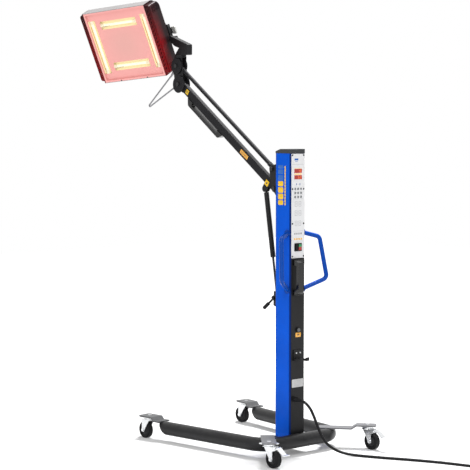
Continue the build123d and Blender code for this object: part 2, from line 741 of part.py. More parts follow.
def column_cap():
    """Dark top cap with its front sloping down, and a spigot into the shell."""
    grown = -CAP_OVERHANG
    body = Pos(0, 0, COLUMN_TOP_Z) * extrude(column_section(grown), CAP_HEIGHT)
    front = HALF_DEPTH + CAP_OVERHANG
    top = COLUMN_TOP_Z + CAP_HEIGHT
    wedge = side_outline([(front - CAP_SLOPE_RUN, top), (front + TRIM, top - CAP_SLOPE_DROP),
                          (front + TRIM, top + OVERRUN), (front - CAP_SLOPE_RUN, top + OVERRUN)])
    body = body - slab(wedge, -COLUMN_WIDTH, COLUMN_WIDTH)
    spigot = extrude(column_section(COLUMN_WALL + GAP), CAP_SPIGOT)
    spigot = Pos(0, 0, COLUMN_TOP_Z - CAP_SPIGOT) * spigot
    spigot = spigot & block((INNER_X + GAP, -COLUMN_WIDTH, 0), (COLUMN_DEPTH, COLUMN_WIDTH, top))
    return body + spigot


def panel_plate(low, high):
    """Flat panel in the rear recess."""
    plate = block((PANEL_X, -PANEL_WIDTH / 2, low), (RECESS_X, PANEL_WIDTH / 2, high))
    return fillet(plate.edges().filter_by(Axis.X), PANEL_THICK)


def control_panel():
    """White panel with the opening of the switch."""
    plate = panel_plate(PANEL_SPLIT_Z + PANEL_JOINT, PANEL_TOP_Z)
    return plate - cross_opening(SWITCH_Z, SWITCH_WIDTH - SWITCH_FRAME, SWITCH_HEIGHT - SWITCH_FRAME)


def lower_panel():
    """Black panel with the hole of the cable gland."""
    return panel_plate(PANEL_FOOT_Z, PANEL_SPLIT_Z) - rear_hole(GLAND_Y, GLAND_Z, GLAND_CAP_RADIUS / 2 + GAP)


def number_windows():
    """Two number windows on the control panel."""
    panes = []
    for z in WINDOW_Z:
        pane = block((PANEL_X - WINDOW_THICK, -WINDOW_WIDTH / 2, z - WINDOW_HEIGHT / 2),
                     (PANEL_X, WINDOW_WIDTH / 2, z + WINDOW_HEIGHT / 2))
        panes.append(chamfer(pane.faces().sort_by(Axis.X)[0].edges(), WINDOW_THICK / 2))
    return panes


def pilot_lamps():
    """Row of round lenses."""
    lenses = []
    for index in range(LENS_COUNT):
        y = (index - (LENS_COUNT - 1) / 2) * LENS_PITCH
        lens = bar((PANEL_X, y, LENS_Z), (PANEL_X - LENS_THICK, y, LENS_Z), LENS_RADIUS)
        lenses.append(fillet(lens.edges().sort_by(Axis.X)[0], LENS_THICK / 2))
    return lenses


def key_pads():
    """Nine raised keys of the foil key pad."""
    keys = []
    for z in KEY_Z:
        for column in (-1, 0, 1):
            y = column * KEY_PITCH
            keys.append(bar((PANEL_X, y, z), (PANEL_X - KEY_THICK, y, z), KEY_RADIUS))
    return keys


def switch_half_y():
    """Distance of a push button's middle from the switch's middle."""
    return (SWITCH_WIDTH - SWITCH_FRAME) / 4


def switch_housing():
    """Black housing of the two push buttons, through the panel."""
    front = PANEL_X - SWITCH_WALL
    frame = block((front, -SWITCH_WIDTH / 2, SWITCH_Z - SWITCH_HEIGHT / 2),
                  (PANEL_X, SWITCH_WIDTH / 2, SWITCH_Z + SWITCH_HEIGHT / 2))
    body_half_y = (SWITCH_WIDTH - SWITCH_FRAME) / 2 - GAP
    body_half_z = (SWITCH_HEIGHT - SWITCH_FRAME) / 2 - GAP
    body = block((PANEL_X, -body_half_y, SWITCH_Z - body_half_z),
                 (PANEL_X + SWITCH_DEEP, body_half_y, SWITCH_Z + body_half_z))
    housing = frame + body
    for side in (1, -1):
        y = side * switch_half_y()
        half_y, half_z = BUTTON_WIDTH / 2 + BUTTON_CLEAR, BUTTON_HEIGHT / 2 + BUTTON_CLEAR
        housing = housing - block((front - TRIM, y - half_y, SWITCH_Z - half_z),
                                  (front + BUTTON_LENGTH + BUTTON_STEM, y + half_y, SWITCH_Z + half_z))
    return housing


def push_button(side):
    """One push button of the power switch."""
    y = side * switch_half_y()
    front = PANEL_X - SWITCH_WALL - BUTTON_PROUD
    button = block((front, y - BUTTON_WIDTH / 2, SWITCH_Z - BUTTON_HEIGHT / 2),
                   (front + BUTTON_LENGTH, y + BUTTON_WIDTH / 2, SWITCH_Z + BUTTON_HEIGHT / 2))
    return fillet(button.faces().sort_by(Axis.X)[0].edges(), BUTTON_CLEAR * 2)


def reset_collar():
    """Collar of the small round push button."""
    collar = bar((PANEL_X, 0, RESET_Z), (PANEL_X - RESET_COLLAR, 0, RESET_Z), RESET_COLLAR_RADIUS)
    return collar - bar((PANEL_X, 0, RESET_Z), (PANEL_X - OVERRUN, 0, RESET_Z), RESET_BORE)


def reset_button():
    """Small round push button, sprung in its collar."""
    front = PANEL_X - RESET_COLLAR - RESET_PROUD
    button = bar((front, 0, RESET_Z), (PANEL_X - RESET_PROUD - GAP, 0, RESET_Z), RESET_RADIUS)
    return fillet(button.edges().sort_by(Axis.X)[0], TRIM)


def screw(x, y, z):
    """Pan head of a panel screw, seen from the rear."""
    head = bar((x, y, z), (x - SCREW_HEAD, y, z), SCREW_RADIUS)
    return chamfer(head.edges().sort_by(Axis.X)[0], SCREW_HEAD / 3)


def grip_screw_places():
    """Heights of the pull grip's two screws."""
    return (GRIP_TOP_Z - GRIP_POST / 2, GRIP_FOOT_Z + GRIP_POST / 2)


def column_screws():
    """Screws of the control panel, the pull grip and the cable hook."""
    heads = []
    edge = PANEL_WIDTH / 2 - SCREW_EDGE
    for z in PANEL_SCREW_Z:
        heads += [screw(PANEL_X, edge, z), screw(PANEL_X, -edge, z)]
    for z in grip_screw_places():
        heads.append(screw(PANEL_X - GRIP_FLANGE, GRIP_FLANGE_Y + SCREW_EDGE, z))
    for side in (1, -1):
        heads.append(screw(PANEL_X - HOOK_THICK, side * HOOK_SCREW_HALF, HOOK_Z + HOOK_SCREW_UP))
    return heads


def pull_grip():
    """Bow grip for pulling the stand, with a foot at each end screwed on beside it."""
    low_y, high_y = GRIP_Y - GRIP_WIDTH / 2, GRIP_Y + GRIP_WIDTH / 2
    back = PANEL_X - GRIP_STAND
    outer = [(PANEL_X, GRIP_TOP_Z), (PANEL_X, GRIP_FOOT_Z), (back, GRIP_FOOT_Z + GRIP_POST / 2),
             (back, GRIP_TOP_Z - GRIP_POST / 2)]
    bow = slab(side_outline(outer), low_y, high_y)
    bow = fillet(bow.edges().filter_by(Axis.Y).sort_by(Axis.X)[:2], GRIP_ROUND)
    inner = [(PANEL_X + TRIM, GRIP_TOP_Z - GRIP_POST), (PANEL_X + TRIM, GRIP_FOOT_Z + GRIP_POST),
             (back + GRIP_BAR, GRIP_FOOT_Z + GRIP_POST), (back + GRIP_BAR, GRIP_TOP_Z - GRIP_POST)]
    bow = bow - slab(side_outline(inner), -COLUMN_WIDTH, COLUMN_WIDTH)
    for z in grip_screw_places():
        foot = block((PANEL_X - GRIP_FLANGE, GRIP_FLANGE_Y, z - GRIP_POST / 2), (PANEL_X, GRIP_Y,
                                                                                 z + GRIP_POST / 2))
        bow = bow + fillet(foot.edges().filter_by(Axis.X), GRIP_ROUND / 2)
    return bow


def cable_hook():
    """Plate with two wings that the cord is wound on."""
    plate = block((PANEL_X - HOOK_THICK, -HOOK_WIDTH / 2, HOOK_Z - HOOK_HEIGHT / 2),
                  (PANEL_X, HOOK_WIDTH / 2, HOOK_Z + HOOK_HEIGHT / 2))
    low = HOOK_Z - HOOK_HEIGHT / 2
    wing = side_outline([(PANEL_X - HOOK_THICK, low), (PANEL_X - HOOK_OUT, low), (PANEL_X - HOOK_OUT,
                                                                                  low + HOOK_LIP),
                         (PANEL_X - HOOK_OUT + HOOK_THICK, low + HOOK_LIP),
                         (PANEL_X - HOOK_OUT + HOOK_THICK * 3, low + HOOK_THICK * 2),
                         (PANEL_X - HOOK_THICK, low + HOOK_THICK * 2)])
    left = slab(wing, HOOK_WIDTH / 2 - HOOK_LIP, HOOK_WIDTH / 2)
    right = slab(wing, -HOOK_WIDTH / 2, -HOOK_WIDTH / 2 + HOOK_LIP)
    return plate + left + right


def cable_gland():
    """Threaded gland that the cord leaves through."""
    nut = extrude(RegularPolygon(GLAND_RADIUS, 6), GLAND_NUT)
    nut = Plane(origin=(PANEL_X, GLAND_Y, GLAND_Z), z_dir=(-1, 0, 0)) * nut
    cap = bar((PANEL_X - GLAND_NUT, GLAND_Y, GLAND_Z), (cord_start_x(), GLAND_Y, GLAND_Z), GLAND_CAP_RADIUS)
    cap = fillet(cap.edges().sort_by(Axis.X)[0], GLAND_CAP_RADIUS / 4)
    thread = bar((PANEL_X, GLAND_Y, GLAND_Z), (INNER_X + GLAND_NUT, GLAND_Y, GLAND_Z), GLAND_CAP_RADIUS / 2)
    return nut + cap + thread


def cord_start_x():
    """Where the cord leaves the gland's face."""
    return CORD_POINTS[0][0]


def side_handle(side):
    """Tubular handle with two welded feet."""
    root = HALF_WIDTH
    points = [(HANDLE_ROOT_X, side * root, HANDLE_TOP_ROOT_Z),
              (HANDLE_UPPER[0], side * HANDLE_UPPER[1], HANDLE_UPPER[2]),
              (HANDLE_LOWER[0], side * HANDLE_LOWER[1], HANDLE_LOWER[2]),
              (HANDLE_ROOT_X, side * root, HANDLE_FOOT_ROOT_Z)]
    path = FilletPolyline(*points, radius=HANDLE_BEND)
    tube = sweep(Plane(origin=path @ 0, z_dir=path % 0) * Circle(HANDLE_RADIUS), path)
    for z in (HANDLE_TOP_ROOT_Z, HANDLE_FOOT_ROOT_Z):
        tube = tube + bar((HANDLE_ROOT_X, side * (root - OVERRUN), z), (HANDLE_ROOT_X,
                                                                        side * (root + HANDLE_FLANGE), z),
                          HANDLE_FLANGE_RADIUS)
    keep = block((-COLUMN_DEPTH * 2, min(side * root, side * COLUMN_DEPTH * 3), 0),
                 (COLUMN_DEPTH, max(side * root, side * COLUMN_DEPTH * 3), COLUMN_TOP_Z))
    return tube & keep


# Inside the column

def control_board():
    """Circuit board on four posts behind the control panel."""
    low, high = BOARD_Z
    face = INNER_X + BOARD_STAND
    board = block((face, -BOARD_WIDTH / 2, low), (face + BOARD_THICK, BOARD_WIDTH / 2, high))
    cut_low = SWITCH_Z + SWITCH_HEIGHT
    board = board - block((face - TRIM, -BOARD_WIDTH, low - TRIM), (face + OVERRUN, BOARD_WIDTH, cut_low))
    for z in (cut_low + SCREW_EDGE * 2, high - SCREW_EDGE * 2):
        for side in (1, -1):
            y = side * (BOARD_WIDTH / 2 - SCREW_EDGE)
            board = board + bar((INNER_X, y, z), (face, y, z), BOARD_POST_RADIUS)
    wide, tall, deep = CHIP
    for share in CHIP_SHARES:
        z = cut_low + (high - cut_low) * share
        board = board + block((face + BOARD_THICK, -wide / 2, z), (face + BOARD_THICK + deep, wide / 2,
                                                                   z + tall))
    return board


def power_module():
    """Finned power module behind the lower panel."""
    low, high = MODULE_Z
    body_end = INNER_X + MODULE_DEPTH - FIN_DEPTH
    body = block((INNER_X, -MODULE_WIDTH / 2, low), (body_end, MODULE_WIDTH / 2, high))
    pitch = (MODULE_WIDTH - FIN_THICK) / (FIN_COUNT - 1)
    for index in range(FIN_COUNT):
        y = -MODULE_WIDTH / 2 + index * pitch
        body = body + block((body_end, y, low), (body_end + FIN_DEPTH, y + FIN_THICK, high))
    return body


def terminal_block():
    """Terminal block below the gland."""
    low, high = TERMINAL_Z
    body = block((INNER_X, -TERMINAL_WIDTH / 2, low), (INNER_X + TERMINAL_DEPTH, TERMINAL_WIDTH / 2, high))
    pitch = TERMINAL_WIDTH / TERMINAL_WAYS
    for index in range(TERMINAL_WAYS):
        y = -TERMINAL_WIDTH / 2 + (index + 0.5) * pitch
        middle = (low + high) / 2
        body = body - bar((INNER_X + TERMINAL_DEPTH / 2, y, middle), (INNER_X + OVERRUN * 2, y, middle),
                          pitch / 4)
    return body


# Arm linkage

def arm_bracket():
    """Bracket on the column's front: back plate and two ears."""
    back = block((HALF_DEPTH, -BRACKET_HALF, BRACKET_LOW_Z), (HALF_DEPTH + BRACKET_BACK, BRACKET_HALF,
                                                              BRACKET_HIGH_Z))
    edge = HALF_DEPTH
    outline = side_outline([(edge, BRACKET_LOW_Z), (ARM_PIVOT_X, ARM_PIVOT_Z - BRACKET_EAR_RADIUS),
                            (ARM_PIVOT_X + BRACKET_EAR_RADIUS, ARM_PIVOT_Z),
                            (ROD_PIVOT_X + BRACKET_EAR_RADIUS, ROD_PIVOT_Z),
                            (ROD_PIVOT_X, ROD_PIVOT_Z + BRACKET_EAR_RADIUS), (edge, BRACKET_HIGH_Z)])
    for x, z in ((ARM_PIVOT_X, ARM_PIVOT_Z), (ROD_PIVOT_X, ROD_PIVOT_Z)):
        outline = outline + Plane((x, 0, z), z_dir=(0, -1, 0)) * Circle(BRACKET_EAR_RADIUS)
    ear = slab(outline, EAR_INNER, EAR_OUTER)
    body = back + both_sides(ear)
    for x, z in ((ARM_PIVOT_X, ARM_PIVOT_Z), (ROD_PIVOT_X, ROD_PIVOT_Z)):
        body = body - cross_bar(x, z, -COLUMN_WIDTH, COLUMN_WIDTH, PIVOT_RADIUS)
    return body


def pivot_bolt(x, z, half):
    """Bolt along Y with a head and a nut outside its plates."""
    bolt = cross_bar(x, z, -half, half, PIVOT_RADIUS)
    for low, high in ((half, half + PIVOT_HEAD), (-half - PIVOT_HEAD, -half)):
        head = extrude(RegularPolygon(PIVOT_HEAD_RADIUS, 6), high - low)
        bolt = bolt + Plane(origin=(x, high, z), z_dir=(0, -1, 0)) * head
    return bolt


def bracket_bolts():
    """Pivot bolts of the arm and of the parallel rod."""
    return [pivot_bolt(ARM_PIVOT_X, ARM_PIVOT_Z, EAR_OUTER), pivot_bolt(ROD_PIVOT_X, ROD_PIVOT_Z, EAR_OUTER)]


def arm_local(x, z):
    """Place along and across the arm of a point of the XZ plane."""
    c, s = math.cos(math.radians(ARM_ANGLE)), math.sin(math.radians(ARM_ANGLE))
    dx, dz = x - ARM_PIVOT_X, z - ARM_PIVOT_Z
    return (dx * c + dz * s, -dx * s + dz * c)


def arm_box(start, end, low, high, half):
    """Box in the arm's own frame: along, across and half width."""
    return ARM * block((start, low, -half), (end, high, half))


def arm_tube():
    """Rectangular arm with cross bushes and the gas spring's lug."""
    tube = arm_box(-ARM_END, ARM_LENGTH + ARM_END, -ARM_HEIGHT / 2, ARM_HEIGHT / 2, ARM_WIDTH / 2)
    inside = arm_box(-ARM_END - TRIM, ARM_LENGTH + ARM_END + TRIM, -ARM_HEIGHT / 2 + ARM_WALL,
                     ARM_HEIGHT / 2 - ARM_WALL, ARM_WIDTH / 2 - ARM_WALL)
    body = tube - inside
    for x, z in ((ARM_PIVOT_X, ARM_PIVOT_Z), (LINK_X, LINK_Z)):
        body = body + cross_bar(x, z, -ARM_WIDTH / 2, ARM_WIDTH / 2, ARM_BUSH_RADIUS)
    along, across = arm_local(SPRING_TOP_X, SPRING_TOP_Z)
    for side in (1, -1):
        outer, inner = side * ARM_WIDTH / 2, side * (ARM_WIDTH / 2 - LUG_THICK)
        lug = block((along - LUG_RADIUS * ARM_LUG_SHARE, across, min(inner, outer)),
                    (along + LUG_RADIUS * ARM_LUG_SHARE, -ARM_HEIGHT / 2, max(inner, outer)))
        lug = lug + Pos(along, across, (inner + outer) / 2) * Cylinder(LUG_RADIUS * ARM_LUG_SHARE, LUG_THICK)
        body = body + ARM * lug
    pin = cross_bar(SPRING_TOP_X, SPRING_TOP_Z, -ARM_WIDTH / 2, ARM_WIDTH / 2, SPRING_PIN_RADIUS)
    body = body + pin
    for x, z in ((ARM_PIVOT_X, ARM_PIVOT_Z), (LINK_X, LINK_Z)):
        body = body - cross_bar(x, z, -COLUMN_WIDTH, COLUMN_WIDTH, PIVOT_RADIUS + RUN_CLEAR)
    return body


def arm_grip():
    """Bow grip on the underside of the arm."""
    top = -ARM_HEIGHT / 2
    low = top - ARM_GRIP_STAND
    post = ARM_GRIP_POST
    outer = [(ARM_GRIP_START, top), (ARM_GRIP_START + post / 2, low), (ARM_GRIP_END - post / 2, low),
             (ARM_GRIP_END, top)]
    inner = [(ARM_GRIP_START + post, top), (ARM_GRIP_START + post, low + ARM_GRIP_BAR),
             (ARM_GRIP_END - post, low + ARM_GRIP_BAR), (ARM_GRIP_END - post, top)]
    body = extrude(make_face(Polyline(*outer, close=True)), ARM_GRIP_WIDTH / 2, both=True)
    body = fillet(body.edges().filter_by(Axis.Z).sort_by(Axis.Y)[:2], ARM_GRIP_ROUND * 2)
    hole = extrude(make_face(Polyline(*inner, close=True)), ARM_GRIP_WIDTH, both=True)
    body = body - fillet(hole.edges().filter_by(Axis.Z), ARM_GRIP_ROUND / 2)
    return ARM * body


def parallel_rod():
    """Round rod above the arm with an eye and a lock nut at each end."""
    start = Vector(ROD_PIVOT_X, 0, ROD_PIVOT_Z)
    end = Vector(LINK_TOP_X, 0, LINK_TOP_Z)
    way = (end - start).normalized()
    body = bar(start, end, ROD_RADIUS)
    for pivot, sign in ((start, 1), (end, -1)):
        body = body + cross_bar(pivot.X, pivot.Z, -ARM_WIDTH / 2, ARM_WIDTH / 2, ROD_EYE_RADIUS)
        seat = pivot + way * (sign * ROD_NUT_SET)
        nut = extrude(RegularPolygon(ROD_NUT_RADIUS, 6), ROD_NUT)
        body = body + Plane(origin=seat, z_dir=way * sign) * nut
    for pivot in (start, end):
        body = body - cross_bar(pivot.X, pivot.Z, -COLUMN_WIDTH, COLUMN_WIDTH, PIVOT_RADIUS + RUN_CLEAR)
    return body


def spring_way():
    """Unit direction from the gas spring's top eye to its foot."""
    return (Vector(SPRING_FOOT_X, 0, SPRING_FOOT_Z) - Vector(SPRING_TOP_X, 0, SPRING_TOP_Z)).normalized()


def gas_cylinder():
    """Pressure tube of the gas spring with its top eye."""
    top = Vector(SPRING_TOP_X, 0, SPRING_TOP_Z)
    way = spring_way()
    shoulder = top + way * SPRING_NECK
    body = bar(shoulder, top + way * (SPRING_NECK + SPRING_BODY), SPRING_RADIUS)
    body = fillet(body.edges().filter_by(GeomType.CIRCLE), SPRING_RADIUS / 4)
    body = body + bar(top, shoulder + way * TRIM, SPRING_NECK_RADIUS)
    body = body + cross_bar(top.X, top.Z, -SPRING_EYE_WIDTH / 2, SPRING_EYE_WIDTH / 2, SPRING_EYE_RADIUS)
    body = body - cross_bar(top.X, top.Z, -COLUMN_WIDTH, COLUMN_WIDTH, SPRING_PIN_RADIUS + RUN_CLEAR)
    bore = top + way * (SPRING_NECK + SPRING_SEAL)
    body = body - bar(bore, top + way * (SPRING_NECK + SPRING_BODY - SPRING_SEAL), SPRING_BORE)
    mouth = top + way * (SPRING_NECK + SPRING_BODY - SPRING_SEAL - TRIM)
    return body - bar(mouth, mouth + way * OVERRUN, SPRING_ROD_RADIUS + RUN_CLEAR)


def gas_rod():
    """Piston rod with its lower eye and the pin that slides in the foot's slots."""
    top = Vector(SPRING_TOP_X, 0, SPRING_TOP_Z)
    way = spring_way()
    foot = Vector(SPRING_FOOT_X, 0, SPRING_FOOT_Z)
    start = top + way * (SPRING_NECK + SPRING_BODY - SPRING_ROD_IN)
    body = bar(start, foot, SPRING_ROD_RADIUS)
    body = body + bar(start, start + way * SPRING_SEAL, SPRING_BORE - GAP)
    body = body + cross_bar(foot.X, foot.Z, -SPRING_EYE_WIDTH / 2, SPRING_EYE_WIDTH / 2, SPRING_EYE_RADIUS)
    reach = spring_ear_inner() + EAR_THICK + PIVOT_HEAD / 2
    return body + cross_bar(foot.X, foot.Z, -reach, reach, SPRING_PIN_RADIUS)


def spring_ear_inner():
    """Inner face of the spring foot's ears."""
    return SPRING_EYE_WIDTH / 2 + CHEEK_GAP


def spring_foot():
    """Bracket with slotted ears for the gas spring's lower pin."""
    back = block((HALF_DEPTH, -FOOT_BACK_HALF, FOOT_LOW_Z), (HALF_DEPTH + BRACKET_BACK, FOOT_BACK_HALF,
                                                             FOOT_HIGH_Z))
    ear_face = side_outline([(HALF_DEPTH, FOOT_LOW_Z), (FOOT_EAR_X, FOOT_LOW_Z + LUG_RADIUS),
                             (FOOT_EAR_X, SPRING_FOOT_Z + LUG_RADIUS * 2),
                             (LEVER_X + LEVER_HUB_RADIUS, FOOT_HIGH_Z), (HALF_DEPTH, FOOT_HIGH_Z)])
    inner = spring_ear_inner()
    ear = slab(ear_face, inner, inner + EAR_THICK)
    body = back + both_sides(ear)
    slot_radius = SPRING_PIN_RADIUS + SLOT_CLEAR
    slot = block((SPRING_FOOT_X - FOOT_SLOT, -COLUMN_WIDTH, SPRING_FOOT_Z - slot_radius),
                 (SPRING_FOOT_X, COLUMN_WIDTH, SPRING_FOOT_Z + slot_radius))
    slot = slot + cross_bar(SPRING_FOOT_X, SPRING_FOOT_Z, -COLUMN_WIDTH, COLUMN_WIDTH, slot_radius)
    slot = slot + cross_bar(SPRING_FOOT_X - FOOT_SLOT, SPRING_FOOT_Z, -COLUMN_WIDTH, COLUMN_WIDTH,
                            slot_radius)
    body = body - slot
    stud_end = inner + EAR_THICK + LEVER_HUB + GAP + PIVOT_HEAD
    stud = cross_bar(LEVER_X, LEVER_Z, inner, stud_end, LEVER_PIN_RADIUS)
    stud = stud + cross_bar(LEVER_X, LEVER_Z, stud_end - PIVOT_HEAD, stud_end,
                            LEVER_HUB_RADIUS * STUD_HEAD_SHARE)
    return body + stud


def lever_y():
    """Middle of the lock lever's hub along Y."""
    return spring_ear_inner() + EAR_THICK + GAP / 2 + LEVER_HUB / 2


def lock_lever():
    """Clamp lever with its round grip."""
    y = lever_y()
    hub = cross_bar(LEVER_X, LEVER_Z, y - LEVER_HUB / 2 + GAP / 2, y + LEVER_HUB / 2 - GAP / 2,
                    LEVER_HUB_RADIUS)
    tip = Vector(LEVER_X + LEVER_REACH, y, LEVER_Z - LEVER_DROP)
    start = Vector(LEVER_X, y, LEVER_Z)
    way = (tip - start).normalized()
    body = hub + bar(start, tip, LEVER_RADIUS)
    grip = bar(tip - way * LEVER_GRIP, tip, LEVER_GRIP_RADIUS)
    grip = fillet(grip.edges(), LEVER_GRIP_RADIUS / 3)
    return body + grip - cross_bar(LEVER_X, LEVER_Z, -COLUMN_WIDTH, COLUMN_WIDTH,
                                   LEVER_PIN_RADIUS + RUN_CLEAR)


# Level link

def link_cheeks():
    """Two side plates and the seat block that carries the swivel."""
    outline = make_hull_xz([(LINK_X, LINK_Z, LINK_LOW_RADIUS), (LINK_TOP_X, LINK_TOP_Z, LINK_TOP_RADIUS)])
    top = side_outline([(SEAT_X - SEAT_RADIUS, SEAT_Z), (SEAT_X + SEAT_RADIUS, SEAT_Z),
                        (LINK_TOP_X + LINK_TOP_RADIUS, LINK_TOP_Z), (LINK_TOP_X - LINK_TOP_RADIUS,
                                                                     LINK_TOP_Z)])
    plate = slab(outline + top, EAR_INNER, CHEEK_OUTER)
    seat = bar((SEAT_X, 0, SEAT_Z - SEAT_BLOCK), (SEAT_X, 0, SEAT_Z), SEAT_RADIUS)
    body = both_sides(plate)
    body = seat + body
    pin_top = SEAT_Z + POST_BASE + GAP + SWIVEL_NUT
    body = body + bar((SEAT_X, 0, SEAT_Z), (SEAT_X, 0, pin_top), SWIVEL_PIN_RADIUS)
    body = body + bar((SEAT_X, 0, pin_top - SWIVEL_NUT + GAP), (SEAT_X, 0, pin_top), SWIVEL_NUT_RADIUS)
    for x, z in ((LINK_X, LINK_Z), (LINK_TOP_X, LINK_TOP_Z)):
        body = body - cross_bar(x, z, -COLUMN_WIDTH, COLUMN_WIDTH, PIVOT_RADIUS)
    return body


def cover_disc(x, z, radius, low, high):
    """Round cover disc with an eased edge and a hole for its bolt."""
    disc = cross_bar(x, z, low, high, radius)
    disc = chamfer(disc.edges(), DISC_EDGE)
    return disc - cross_bar(x, z, -COLUMN_WIDTH, COLUMN_WIDTH, PIVOT_RADIUS)


def link_discs():
    """Cover discs on both sides of the two link pivots."""
    discs = []
    for x, z, radius in ((LINK_X, LINK_Z, DISC_LOW_RADIUS), (LINK_TOP_X, LINK_TOP_Z, DISC_TOP_RADIUS)):
        discs.append(cover_disc(x, z, radius, DISC_NEAR, DISC_NEAR + DISC_THICK))
        discs.append(cover_disc(x, z, radius, -CHEEK_OUTER - DISC_THICK, -CHEEK_OUTER))
    return discs


def link_bolts():
    """Pivot bolts of the link, near side longer by the wire handle's eyes."""
    bolts = []
    near, far = DISC_NEAR + DISC_THICK, CHEEK_OUTER + DISC_THICK
    for x, z in ((LINK_X, LINK_Z), (LINK_TOP_X, LINK_TOP_Z)):
        bolt = cross_bar(x, z, -far, near, PIVOT_RADIUS)
        for low, high in ((near, near + PIVOT_HEAD), (-far - PIVOT_HEAD, -far)):
            head = extrude(RegularPolygon(PIVOT_HEAD_RADIUS, 6), high - low)
            bolt = bolt + Plane(origin=(x, high, z), z_dir=(0, -1, 0)) * head
        bolts.append(bolt)
    return bolts


def wire_handle():
    """Bent steel wire handle with two flat eyes on the near cheek."""
    y = CHEEK_OUTER + WIRE_RADIUS + GAP
    path = FilletPolyline((LINK_X, y, LINK_Z), (WIRE_TIP_X, y, WIRE_TIP_Z), (WIRE_TOP_X, y, WIRE_TOP_Z),
                          radius=WIRE_BEND)
    wire = sweep(Plane(origin=path @ 0, z_dir=path % 0) * Circle(WIRE_RADIUS), path)
    body = wire - cross_bar(LINK_X, LINK_Z, -COLUMN_WIDTH, COLUMN_WIDTH, DISC_LOW_RADIUS + TRIM)
    body = body - cross_bar(LINK_TOP_X, LINK_TOP_Z, -COLUMN_WIDTH, COLUMN_WIDTH, DISC_TOP_RADIUS + TRIM)
    for x, z, reach in ((LINK_X, LINK_Z, DISC_LOW_RADIUS), (LINK_TOP_X, LINK_TOP_Z, DISC_TOP_RADIUS)):
        tip = Vector(WIRE_TIP_X, y, WIRE_TIP_Z)
        start = Vector(x, y, z) if z == LINK_Z else Vector(WIRE_TOP_X, y, WIRE_TOP_Z)
        end = start + (tip - start).normalized() * (reach + OVERRUN / 2)
        tongue = make_hull_xz([(x, z, WIRE_EYE_RADIUS), (end.X, end.Z, WIRE_RADIUS)])
        body = body + slab(tongue, CHEEK_OUTER, DISC_NEAR)
    for x, z in ((LINK_X, LINK_Z), (LINK_TOP_X, LINK_TOP_Z)):
        body = body - cross_bar(x, z, -COLUMN_WIDTH, COLUMN_WIDTH, PIVOT_RADIUS)
    return body


# Swivel bracket

def tilt_point(along):
    """Point of the tilt axis at a distance along the head's x."""
    return HEAD.from_local_coords(Vector(along, TILT_RISE, -TILT_SET))


def swivel_bracket():
    """Post and beam that carry the head, with a round lug for the tilt pin."""
    low = SEAT_Z + GAP
    base = bar((SEAT_X, 0, low), (SEAT_X, 0, low + POST_BASE), POST_BASE_RADIUS)
    tip = tilt_point((TILT_LUG_START + TILT_LUG_END) / 2)
    half = POST_WIDTH / 2
    rear = SEAT_X - BEAM_BEHIND
    underside = [(SEAT_X + ahead, SEAT_Z + up) for ahead, up in BEAM_UNDERSIDE]
    outline = [(rear, SEAT_Z + BEAM_LOW), (rear, SEAT_Z + BEAM_HIGH),
               (tip.X, tip.Z + TILT_LUG_RADIUS), (tip.X, tip.Z - TILT_LUG_RADIUS), *underside,
               (SEAT_X + half, low), (SEAT_X - half, low), (SEAT_X - half, SEAT_Z + BEAM_LOW)]
    beam = slab(side_outline(outline), -POST_HALF, POST_HALF)
    beam = fillet(beam.edges().filter_by(Axis.Y).sort_by(Axis.X)[:2], BEAM_ROUND)
    beam = beam - HEAD * block((-FACE, -FACE, -FACE), (TILT_LUG_START, FACE, FACE))
    lug = bar(tilt_point(TILT_LUG_START), tilt_point(TILT_LUG_END), TILT_LUG_RADIUS)
    body = base + beam + lug
    room = SWIVEL_NUT_RADIUS + NUT_ROOM
    floor = low + POST_BASE
    bore = block((SEAT_X - room, -POST_HALF + POST_WALL, floor),
                 (SEAT_X + room, POST_HALF - POST_WALL, floor + SWIVEL_NUT + NUT_ROOM))
    body = body - bore
    body = body - bar((SEAT_X, 0, SEAT_Z - TRIM), (SEAT_X, 0, floor + TRIM), SWIVEL_PIN_RADIUS + RUN_CLEAR)
    return body - bar(tilt_point(TILT_LUG_START - TRIM), tilt_point(TILT_LUG_END + TRIM),
                      TILT_PIN_RADIUS + RUN_CLEAR)


# Head

def head_profile(inset, depth):
    """Side outline of the head in local y and z, open towards the face."""
    half = HALF_FACE - inset
    back = -(depth - inset)
    face = make_face(Polyline((0, half, 0), (0, -half, 0), (0, -half, back), (0, half, back), close=True))
    rear = face.vertices().sort_by(Axis.Z)[:2]
    return fillet(rear, HEAD_BACK_ROUND - inset)


def back_shell():
    """Bent sheet over the top, back and bottom of the head."""
    outer = extrude(head_profile(0, HEAD_DEPTH), HALF_FACE, both=True, dir=(1, 0, 0))
    inner = extrude(head_profile(SHEET, HEAD_DEPTH), FACE, both=True, dir=(1, 0, 0))
    return HEAD * (outer - inner)


def cap_dome(inset):
    """Domed body of an end cap, drawn inwards by inset, its open side at x = 0."""
    profile = head_profile(CAP_STEP + inset, HEAD_DEPTH + CAP_STEP - inset)
    dome = extrude(profile, CAP_WIDTH - inset, dir=(1, 0, 0))
    dome = fillet(dome.edges().filter_by(Axis.X).sort_by(Axis.Z)[-2:], CAP_ROUND - inset)
    end = CAP_WIDTH - inset
    rim = dome.edges().filter_by_position(Axis.X, end - GAP, end + GAP)
    return Pos(HALF_FACE, 0, -inset) * fillet(rim, CAP_RIM - inset)


